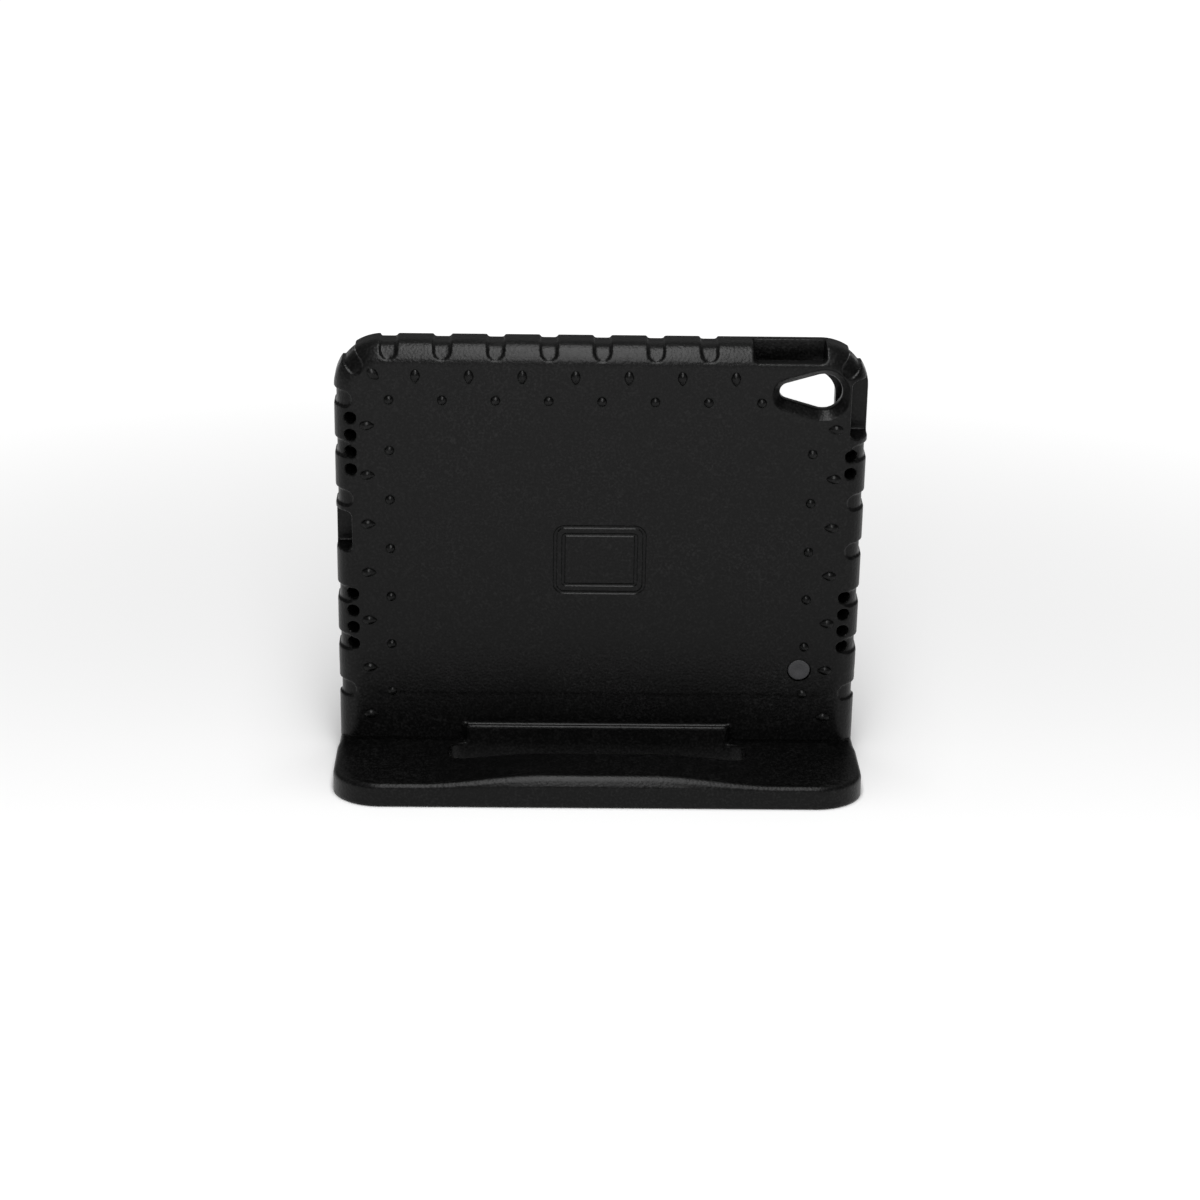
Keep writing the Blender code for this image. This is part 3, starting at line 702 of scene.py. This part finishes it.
# %% Camera window
LENS_FROM_SIDE = 0.0124
LENS_FROM_TOP = 0.0125
LENS_RADIUS = 0.0095
FLASH_SPACING = 0.0176
FLASH_RADIUS = 0.0045
FLARE_WIDTH = 0.0042
FLARE_DEPTH = 0.0050
FLAT_ANGLE = math.radians(0.5)
lens_x = TABLET.x / 2 - LENS_FROM_SIDE
lens_up = TABLET.z / 2 - LENS_FROM_TOP


def pear(name, back, front, widened=0.0):
    """The hull of two cones, one at the lens and one at the flash, widened at their back."""
    bm = bmesh.new()
    for x, radius in ((lens_x, LENS_RADIUS), (lens_x - FLASH_SPACING, FLASH_RADIUS)):
        centre = (x, (back + front) / 2, middle + lens_up)
        add_cylinder(bm, centre, radius + widened, front - back, radius)
    hull = bmesh.ops.convex_hull(bm, input=bm.verts)
    loose = [item for item in hull["geom_interior"] if isinstance(item, bmesh.types.BMVert)]
    bmesh.ops.delete(bm, geom=loose, context="VERTS")
    bmesh.ops.dissolve_limit(bm, angle_limit=FLAT_ANGLE, verts=bm.verts, edges=bm.edges)
    return solid(name, bm)


widening = FLARE_WIDTH / FLARE_DEPTH
flare = pear("camera_flare", -PAST, FLARE_DEPTH, FLARE_WIDTH + PAST * widening)
throat = pear("camera_throat", FLARE_DEPTH - PAST / 2, BACK_THICKNESS + PAST / 2)
for cutter in (flare, throat):
    combine(case, cutter, "DIFFERENCE")
print("camera window at", round(lens_x, 4), "across and", round(lens_up, 4), "above the middle")

# %% [markdown]
# The slot for the fingers goes straight down through the folded handle, close to the fold, and has
# round corners. The rib stands behind it, so it is cut when the rib is there.

# %% Hand slot
SLOT_LENGTH = 0.1540
SLOT_CORNER = 0.0090


def hand_slot():
    """The slot for the fingers, straight down through the folded handle."""
    far = fold_y - SLOT_SETBACK
    half = SLOT_LENGTH / 2
    bm = bmesh.new()
    add_rounded_box(
        bm, (-half, far - SLOT_WIDTH, -PAST), (half, far, FOOT_THICKNESS + RIB_HEIGHT + PAST), Z,
        SLOT_CORNER,
    )
    return solid("hand_slot", bm, Matrix.Identity(4))


combine(case, hand_slot(), "DIFFERENCE")
print("hand slot", round(1000 * SLOT_LENGTH, 1), "by", round(1000 * SLOT_WIDTH, 1), "mm")

# %% [markdown]
# Now the exact solid becomes moulded foam. A voxel remesh covers it with even little squares, so that
# smoothing rounds every edge by the same small radius, as a mould's polished edges do. Decimation then
# thins the flat areas and leaves the points where the surface curves.

# %% Even skin
VOXEL = 0.0006
SMOOTHING = 4
MOST_TRIANGLES = 175000


def applied(made):
    """The mesh of an object with its modifiers applied."""
    bpy.context.view_layer.update()
    return bpy.data.meshes.new_from_object(made.evaluated_get(bpy.context.evaluated_depsgraph_get()))


def apply_modifiers(made):
    made.data = applied(made)
    made.modifiers.clear()


def open_edges(mesh):
    """How many edges of a mesh don't have exactly two faces. A closed solid has none."""
    bm = bmesh.new()
    bm.from_mesh(mesh)
    count = sum(1 for edge in bm.edges if not edge.is_manifold)
    bm.free()
    return count


def even_skin(source, name):
    fine = bpy.data.objects.new(name, applied(source))
    print("open edges before the remesh:", open_edges(fine.data))
    bpy.context.scene.collection.objects.link(fine)
    remesh = fine.modifiers.new("even_squares", "REMESH")
    remesh.mode = "VOXEL"
    remesh.voxel_size = VOXEL
    smooth = fine.modifiers.new("softened", "SMOOTH")
    smooth.iterations = SMOOTHING
    apply_modifiers(fine)
    triangles = sum(len(polygon.vertices) - 2 for polygon in fine.data.polygons)
    thin = fine.modifiers.new("thinned", "DECIMATE")
    thin.ratio = min(1.0, MOST_TRIANGLES / triangles)
    apply_modifiers(fine)
    print(name, "had", triangles, "triangles and keeps", len(fine.data.polygons))
    fine.data.transform(panel)
    fine.data.shade_smooth()
    return fine


foam = even_skin(case, "foam_body")

# %% [markdown]
# Raised dots give the back its grip: long ones between the grooves and round ones in a second row.
# Each long dot is a drop that points to the middle of the back. A sphere is squashed to the dot's size,
# and the half that points inward is drawn to a narrower end. The dots are joined only now, because the
# smoothing above would melt forms this small. Each one sinks by a hair, because a Boolean goes wrong
# where a corner of one solid lies exactly on a face of the other.

# %% Dots on the back
DOT_LENGTH = 0.0075
DOT_WIDTH = 0.0050
DOT_RISE = 0.0023
DOT_POINT = 0.35
DOT_SINK = 0.00007
DOT_OUTER_TOP = 0.0160
DOT_INNER_TOP = 0.0285
DOT_OUTER_SIDE = 0.0170
DOT_INNER_SIDE = 0.0282
DOT_CORNER_SIDE = 0.0205
DOT_CORNER_TOP = 0.0150
DOT_SIDES = 16
DOT_RINGS = 12


def dot_places():
    """Each dot as (x, height above the tray's middle, turn, True where it is long)."""
    volume_start = volume_centre - VOLUME_LENGTH / 2
    window_left = lens_x - FLASH_SPACING - FLASH_RADIUS - FLARE_WIDTH
    window_base = lens_up - LENS_RADIUS - FLARE_WIDTH
    places = []
    for x in steps_between(CORNER_RADIUS - side, volume_start - DOT_WIDTH, PITCH / 2):
        places.append((x, top - DOT_OUTER_TOP, 0, True))
    for x in steps_between(CORNER_RADIUS - side, window_left - DOT_WIDTH / 2, 0):
        places.append((x, top - DOT_INNER_TOP, 0, False))
    for height in steps_between(-top - DOT_WIDTH, window_base, ROW_UP + PITCH / 2):
        places.append((DOT_OUTER_SIDE - side, height, -90, True))
        places.append((side - DOT_OUTER_SIDE, height, 90, True))
    for height in steps_between(-top, window_base - PITCH / 2, ROW_UP):
        places.append((DOT_INNER_SIDE - side, height, 0, False))
        places.append((side - DOT_INNER_SIDE, height, 0, False))
    places.append((DOT_CORNER_SIDE - side, top - DOT_CORNER_TOP, -45, True))
    return places


def dots():
    bm = bmesh.new()
    for x, height, turn, is_long in dot_places():
        length = DOT_LENGTH if is_long else DOT_WIDTH
        made = bmesh.ops.create_uvsphere(bm, u_segments=DOT_SIDES, v_segments=DOT_RINGS, radius=1.0)
        if is_long:
            for vert in made["verts"]:
                narrow = 1 - DOT_POINT * max(-vert.co.z, 0.0)
                vert.co.x *= narrow
                vert.co.y *= narrow
        shape = Matrix.Diagonal((DOT_WIDTH / 2, DOT_RISE, length / 2, 1.0))
        place = Matrix.Translation((x, DOT_SINK, middle + height))
        turned = place @ Matrix.Rotation(math.radians(turn), 4, "Y")
        bmesh.ops.transform(bm, verts=made["verts"], matrix=turned @ shape)
    return solid("back_dots", bm)


combine(foam, dots(), "UNION")
print("dots:", len(dot_places()))

# %% [markdown]
# In the middle of the back, two thin frame lines are pressed into the foam, one inside the other, and
# the place inside them is plain. Each line is pressed by a rod bent to a rounded rectangle, which is a
# curve with a round bevel. The rod's middle lies above the back, so the groove is wide and shallow: its
# upper wall is dark and its lower wall catches the light.

# %% Pressed frame lines
SAME_POINT = HAIR / 10
FRAME_UP = -0.0139
FRAME_SIZES = ((0.0457, 0.0364, 0.0050), (0.0372, 0.0278, 0.0015))
ROD_THICKNESS = 0.0024
ROD_LIFT = 0.0006
ROD_STEPS = 4


def rounded_outline(width, height, radius):
    """The points of a rounded rectangle, in the panel's plane about its own middle."""
    points = []
    for quarter in range(4):
        side_x = 1 if quarter in (0, 3) else -1
        side_z = 1 if quarter in (0, 1) else -1
        for share in even_shares(ROUNDING_STEPS):
            angle = math.pi / 2 * (quarter + share)
            x = side_x * (width / 2 - radius) + radius * math.cos(angle)
            z = side_z * (height / 2 - radius) + radius * math.sin(angle)
            points.append((x, 0.0, z))
    return points


def pressed_line(name, width, height, radius):
    """A bent rod whose middle lies above the back face, so that it presses a shallow groove."""
    curve = bpy.data.curves.new(name, "CURVE")
    curve.dimensions = "3D"
    curve.bevel_depth = ROD_THICKNESS / 2
    curve.bevel_resolution = ROD_STEPS
    points = rounded_outline(width, height, radius)
    spline = curve.splines.new("POLY")
    spline.points.add(len(points) - 1)
    for knot, point in zip(spline.points, points):
        knot.co = (*point, 1.0)
    spline.use_cyclic_u = True
    rod = bpy.data.objects.new(name, curve)
    helpers.objects.link(rod)
    bm = bmesh.new()
    bm.from_mesh(applied(rod))
    bmesh.ops.remove_doubles(bm, verts=bm.verts, dist=SAME_POINT)
    bpy.data.objects.remove(rod, do_unlink=True)
    return solid(name + "_rod", bm, panel @ Matrix.Translation((0, -ROD_LIFT, middle + FRAME_UP)))


for count, sizes in enumerate(FRAME_SIZES):
    combine(foam, pressed_line(f"frame_line_{count}", *sizes), "DIFFERENCE")
print("frame lines:", len(FRAME_SIZES))

# %% [markdown]
# The grey plug sits in a round seat near the lower corner, with a little room around it and under it.
# Along the fold a thin slit continues the handle's top into the panel, which keeps the corner dark, as
# a fold in foam is. A slit this thin would be lost in the even skin, so it is cut afterwards.

# %% Plug seat and crease
PLUG_FROM_SIDE = 0.0190
PLUG_FROM_BOTTOM = 0.0140
PLUG_DIAMETER = 0.0116
PLUG_THICKNESS = 0.0030
PLUG_SINK = 0.0004
PLUG_CLEARANCE = 0.0005
PLUG_FLOOR_GAP = 0.0003
CREASE_DEPTH = 0.0014
CREASE_HEIGHT = 0.0012
CREASE_SINK = 0.00005
plug_x = TABLET.x / 2 - PLUG_FROM_SIDE
plug_up = PLUG_FROM_BOTTOM - TABLET.z / 2


def plug_seat():
    depth = PLUG_SINK + PLUG_THICKNESS + PLUG_FLOOR_GAP
    bm = bmesh.new()
    centre = (plug_x, (depth - PAST) / 2, middle + plug_up)
    add_cylinder(bm, centre, PLUG_DIAMETER / 2 + PLUG_CLEARANCE, depth + PAST)
    return solid("plug_seat", bm)


def fold_crease():
    """Two thin slits, one at each side of the rib."""
    bm = bmesh.new()
    for outward in (-1, 1):
        low, high = sorted((outward * RIB_LENGTH / 2, outward * (body_width / 2 + PAST)))
        add_box(
            bm, (low, fold_y - CREASE_DEPTH, FOOT_THICKNESS - CREASE_SINK),
            (high, fold_y + CREASE_DEPTH, FOOT_THICKNESS + CREASE_HEIGHT),
        )
    return solid("fold_crease", bm, Matrix.Identity(4))


for cutter in (plug_seat(), fold_crease()):
    combine(foam, cutter, "DIFFERENCE")
print("seat for a plug of", round(1000 * PLUG_DIAMETER, 1), "mm")

# %% [markdown]
# The foam is finished by applying the last Booleans. Its faces are shaded smooth, except across edges
# sharper than the angle given, such as the rims of the seat and the slits. The solids that helped are
# removed, and the foam is tied to the frame: it moves with the root and stands for the imported foam,
# which is hidden.

# %% Finished foam
SHARP_ANGLE = math.radians(32)
apply_modifiers(foam)
foam.data.shade_smooth()
foam.data.set_sharp_from_angle(angle=SHARP_ANGLE)
print("open edges of the finished foam:", open_edges(foam.data), "faces:", len(foam.data.polygons))

for helper in list(helpers.objects):
    bpy.data.objects.remove(helper, do_unlink=True)
bpy.data.collections.remove(helpers)
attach(foam, "root")
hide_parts("foam_case")

# %% [markdown]
# The grey plug in the lower corner is a turned disc. Its profile, half of its section, is drawn from
# the middle of its face to its rim and back, and spun once round. The face is dished a little, and the
# rim is rounded, which gives it the light ring that a polished edge shows.

# %% Grey plug
PLUG_RIM = 0.0007
PLUG_DISH = 0.00025
PLUG_LAND = 0.0042
PLUG_SPIN_STEPS = 96
PLUG_SHARP = math.radians(40)


def plug_profile():
    """Radius and depth of each point, from the face's middle over the rim to the seat side."""
    radius = PLUG_DIAMETER / 2
    points = [(0.0, PLUG_DISH)]
    for share in even_shares(ROUNDING_STEPS)[1:]:
        points.append((PLUG_LAND * share, PLUG_DISH * (1 - smooth_step(share))))
    for share in even_shares(ROUNDING_STEPS):
        angle = math.pi / 2 * share
        points.append((radius - PLUG_RIM * (1 - math.sin(angle)), PLUG_RIM * (1 - math.cos(angle))))
    points += [(radius, PLUG_THICKNESS), (0.0, PLUG_THICKNESS)]
    return points


def turned_plug():
    bm = bmesh.new()
    verts = [bm.verts.new((radius, depth, 0.0)) for radius, depth in plug_profile()]
    edges = [bm.edges.new(pair) for pair in zip(verts, verts[1:])]
    bmesh.ops.spin(
        bm, geom=verts + edges, cent=(0, 0, 0), axis=(0, 1, 0), angle=math.tau, steps=PLUG_SPIN_STEPS,
    )
    bmesh.ops.remove_doubles(bm, verts=bm.verts, dist=SAME_POINT)
    bmesh.ops.recalc_face_normals(bm, faces=bm.faces)
    mesh = bpy.data.meshes.new("plug_disc")
    bm.to_mesh(mesh)
    bm.free()
    mesh.transform(panel @ Matrix.Translation((plug_x, PLUG_SINK, middle + plug_up)))
    mesh.shade_smooth()
    mesh.set_sharp_from_angle(angle=PLUG_SHARP)
    made = bpy.data.objects.new("plug_disc", mesh)
    bpy.context.scene.collection.objects.link(made)
    return made


disc = turned_plug()
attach(disc, "root")
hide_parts("round_plug")
print("plug disc has", len(disc.data.polygons), "faces")

# %% [markdown]
# Both materials share two effects, a grain and the traces of handling, so each effect is a node group
# with its own inputs. Three helpers keep the wiring short: a new group with its sockets, a Math node,
# and a Noise texture.

# %% Helpers for shader nodes
def new_group(name, inputs, outputs):
    group = bpy.data.node_groups.new(name, "ShaderNodeTree")
    for label, value in inputs:
        socket = group.interface.new_socket(label, in_out="INPUT", socket_type="NodeSocketFloat")
        socket.default_value = value
    for label in outputs:
        group.interface.new_socket(label, in_out="OUTPUT", socket_type="NodeSocketFloat")
    start = group.nodes.new("NodeGroupInput")
    end = group.nodes.new("NodeGroupOutput")
    return group, start, end


def math_node(tree, operation, first, second):
    """A Math node fed by sockets or plain numbers, and its result."""
    node = tree.nodes.new("ShaderNodeMath")
    node.operation = operation
    for socket, source in zip(node.inputs, (first, second)):
        if isinstance(source, (int, float)):
            socket.default_value = source
        else:
            tree.links.new(source, socket)
    return node.outputs[0]


def noise(tree, vector, scale, detail):
    node = tree.nodes.new("ShaderNodeTexNoise")
    tree.links.new(vector, node.inputs["Vector"])
    tree.links.new(scale, node.inputs["Scale"])
    node.inputs["Detail"].default_value = detail
    return node.outputs["Fac"]


print("groups so far:", len(bpy.data.node_groups))

# %% [markdown]
# Foam from a mould has a skin with a fine leathery grain, because the mould was etched. The grain is
# pebbles of about a millimetre, with a slower waviness below them and pale flecks where the skin has
# worn. The foam and the plug have it at their own scale. The group gives a height for the bump and a
# mask for the colour.

# %% Grain group
WAVE_SCALE = 0.3
WAVE_DETAIL = 3.0
FLECK_DETAIL = 1.0
FLECK_RANGE = (0.45, 0.78)


def grain_group():
    """Height and fleck of an etched mould's grain. Pebbles per Metre is how many lie on one metre."""
    group, start, end = new_group(
        "mould_grain", (("Pebbles per Metre", 1200.0), ("Waviness", 0.35)), ("Height", "Fleck"),
    )
    place = group.nodes.new("ShaderNodeTexCoord").outputs["Object"]
    cells = group.nodes.new("ShaderNodeTexVoronoi")
    cells.feature = "SMOOTH_F1"
    group.links.new(place, cells.inputs["Vector"])
    group.links.new(start.outputs["Pebbles per Metre"], cells.inputs["Scale"])
    pebble = math_node(group, "SUBTRACT", 1.0, cells.outputs["Distance"])
    wide = math_node(group, "MULTIPLY", start.outputs["Pebbles per Metre"], WAVE_SCALE)
    slow = noise(group, place, wide, WAVE_DETAIL)
    wave = math_node(group, "MULTIPLY", slow, start.outputs["Waviness"])
    group.links.new(math_node(group, "ADD", pebble, wave), end.inputs["Height"])
    speck = noise(group, place, start.outputs["Pebbles per Metre"], FLECK_DETAIL)
    fleck = group.nodes.new("ShaderNodeMapRange")
    fleck.inputs["From Min"].default_value, fleck.inputs["From Max"].default_value = FLECK_RANGE
    group.links.new(speck, fleck.inputs["Value"])
    group.links.new(fleck.outputs["Result"], end.inputs["Fleck"])
    return group


grain = grain_group()
print("grain group outputs:", [item.name for item in grain.interface.items_tree if item.in_out == "OUTPUT"])

# %% [markdown]
# Foam that is handled takes up dust in soft clouds, and is a little rougher and paler there. A second
# group makes that slow change: two noises of different size, multiplied, are the mask of the dust.

# %% Handling group
FINE_CLOUDS = 9.0
LARGE_DETAIL = 4.0
FINE_DETAIL = 2.0


def handling_group():
    """A slow cloudy mask, from 0 on clean skin to 1 where handling has left dust."""
    group, start, end = new_group(
        "handling", (("Clouds per Metre", 22.0), ("Contrast", 1.6)), ("Mask",),
    )
    place = group.nodes.new("ShaderNodeTexCoord").outputs["Object"]
    large = noise(group, place, start.outputs["Clouds per Metre"], LARGE_DETAIL)
    fine_scale = math_node(group, "MULTIPLY", start.outputs["Clouds per Metre"], FINE_CLOUDS)
    small = noise(group, place, fine_scale, FINE_DETAIL)
    both = math_node(group, "MULTIPLY", large, small)
    lifted = math_node(group, "MULTIPLY", both, start.outputs["Contrast"])
    clamped = math_node(group, "MINIMUM", lifted, 1.0)
    group.links.new(clamped, end.inputs["Mask"])
    return group


handling = handling_group()
print("handling group nodes:", len(handling.nodes))

# %% [markdown]
# The foam is black, but its skin isn't a mirror: it shows a pale room only faintly, so its specular
# level is low and its roughness in the middle. Two close colours are mixed by the masks, near-black for
# the foam and dark grey for the plug. The constants stay on the shader's own sockets, and the groups
# only feed what changes over the surface.

# %% Foam and plug materials
RELIEF = 0.0002


def grained_material(name, dark, light, roughness, specular, pebbles, bump, clouds):
    """A moulded material: two close colours and two roughnesses, mixed by grain and handling."""
    material = bpy.data.materials.new(name)
    material.use_nodes = True
    tree = material.node_tree
    shader = tree.nodes["Principled BSDF"]
    shader.inputs["Specular IOR Level"].default_value = specular
    skin = tree.nodes.new("ShaderNodeGroup")
    skin.node_tree = grain
    skin.inputs["Pebbles per Metre"].default_value = pebbles
    hands = tree.nodes.new("ShaderNodeGroup")
    hands.node_tree = handling
    hands.inputs["Clouds per Metre"].default_value = clouds
    blend = math_node(tree, "MULTIPLY", skin.outputs["Fleck"], hands.outputs["Mask"])
    colour = tree.nodes.new("ShaderNodeMix")
    colour.data_type = "RGBA"
    colour.inputs["A"].default_value = (*dark, 1.0)
    colour.inputs["B"].default_value = (*light, 1.0)
    tree.links.new(blend, colour.inputs["Factor"])
    tree.links.new(colour.outputs["Result"], shader.inputs["Base Color"])
    rough = tree.nodes.new("ShaderNodeMapRange")
    rough.inputs["To Min"].default_value, rough.inputs["To Max"].default_value = roughness
    tree.links.new(hands.outputs["Mask"], rough.inputs["Value"])
    tree.links.new(rough.outputs["Result"], shader.inputs["Roughness"])
    relief = tree.nodes.new("ShaderNodeBump")
    relief.inputs["Strength"].default_value = bump
    relief.inputs["Distance"].default_value = RELIEF
    tree.links.new(skin.outputs["Height"], relief.inputs["Height"])
    tree.links.new(relief.outputs["Normal"], shader.inputs["Normal"])
    return material


foam.data.materials.clear()
foam.data.materials.append(grained_material(
    "black_moulded_foam", dark=(0.0004, 0.0004, 0.0004), light=(0.0150, 0.0150, 0.0150),
    roughness=(0.32, 0.42), specular=0.16, pebbles=800.0, bump=0.5, clouds=22.0,
))
disc.data.materials.append(grained_material(
    "grey_moulded_plastic", dark=(0.030, 0.030, 0.032), light=(0.042, 0.042, 0.045),
    roughness=(0.42, 0.55), specular=0.40, pebbles=2500.0, bump=0.2, clouds=60.0,
))
print("materials:", [item.name for item in bpy.data.materials if item.users])

# %% [markdown]
# A black object is seen by its reflections. The back mirrors the pale floor in front of it, and fades
# to black at the bottom, where it mirrors the handle. One long softbox above and in front draws the
# bright band along each upper edge. The world is a dim, even grey, so the top faces stay dark.

# %% Light
WHITE = (1.0, 1.0, 1.0, 1.0)
SOFTBOX_PLACE = Vector((0.0, -0.5, 1.03))
SOFTBOX_TARGET = Vector((0.0, 0.0, 0.1))
SOFTBOX_SIZE = (0.32, 1.75)
SOFTBOX_POWER = 19.0
WORLD_LIGHT = 0.22


def make_softbox():
    data = bpy.data.lights.new("top_softbox", "AREA")
    data.shape = "RECTANGLE"
    data.size, data.size_y = SOFTBOX_SIZE
    data.energy = SOFTBOX_POWER
    lamp = bpy.data.objects.new("top_softbox", data)
    lamp.location = SOFTBOX_PLACE
    lamp.rotation_euler = (SOFTBOX_TARGET - SOFTBOX_PLACE).to_track_quat("-Z", "Y").to_euler()
    bpy.context.scene.collection.objects.link(lamp)


make_softbox()
world = bpy.data.worlds.new("studio")
world.use_nodes = True
sky = world.node_tree.nodes["Background"]
sky.inputs["Color"].default_value = WHITE
sky.inputs["Strength"].default_value = WORLD_LIGHT
bpy.context.scene.world = world
bpy.context.scene.view_settings.view_transform = "Standard"
print("world strength:", sky.inputs["Strength"].default_value)

# %% [markdown]
# The floor is one very large pale sheet, so it is the background too. Near the case it is lit like the
# case and takes its soft shadow. Further out the softbox no longer reaches, so the sheet glows there by
# itself, only for the rays that show the surroundings, and lights nothing.

# %% Floor
FLOOR_SIZE = 40.0
FLOOR_DROP = 0.0003
FLOOR_COLOUR = (0.86, 0.86, 0.86, 1.0)
FLOOR_ROUGHNESS = 0.9
FLOOR_SPECULAR = 0.1
GLOW_RANGE = (0.10, 1.4)
FLOOR_GLOW = 0.85


def shown_rays(tree):
    """1 for rays that show the surroundings: seen by the camera, in gloss or through glass."""
    rays = tree.nodes.new("ShaderNodeLightPath")
    seen = math_node(tree, "ADD", rays.outputs["Is Camera Ray"], rays.outputs["Is Glossy Ray"])
    seen = math_node(tree, "ADD", seen, rays.outputs["Is Transmission Ray"])
    return math_node(tree, "MINIMUM", seen, 1.0)


def floor_material():
    material = bpy.data.materials.new("pale_floor")
    material.use_nodes = True
    tree = material.node_tree
    shader = tree.nodes["Principled BSDF"]
    shader.inputs["Base Color"].default_value = FLOOR_COLOUR
    shader.inputs["Roughness"].default_value = FLOOR_ROUGHNESS
    shader.inputs["Specular IOR Level"].default_value = FLOOR_SPECULAR
    shader.inputs["Emission Color"].default_value = WHITE
    distance = tree.nodes.new("ShaderNodeVectorMath")
    distance.operation = "LENGTH"
    tree.links.new(tree.nodes.new("ShaderNodeTexCoord").outputs["Object"], distance.inputs[0])
    far = tree.nodes.new("ShaderNodeMapRange")
    far.interpolation_type = "SMOOTHSTEP"
    far.inputs["From Min"].default_value, far.inputs["From Max"].default_value = GLOW_RANGE
    tree.links.new(distance.outputs["Value"], far.inputs["Value"])
    shown = math_node(tree, "MULTIPLY", shown_rays(tree), far.outputs["Result"])
    glow = math_node(tree, "MULTIPLY", shown, FLOOR_GLOW)
    tree.links.new(glow, shader.inputs["Emission Strength"])
    return material


bpy.ops.mesh.primitive_plane_add(size=FLOOR_SIZE, location=(0, 0, -FLOOR_DROP))
floor = bpy.context.object
floor.name = "floor"
floor.data.materials.append(floor_material())
print("floor", FLOOR_SIZE, "m wide")
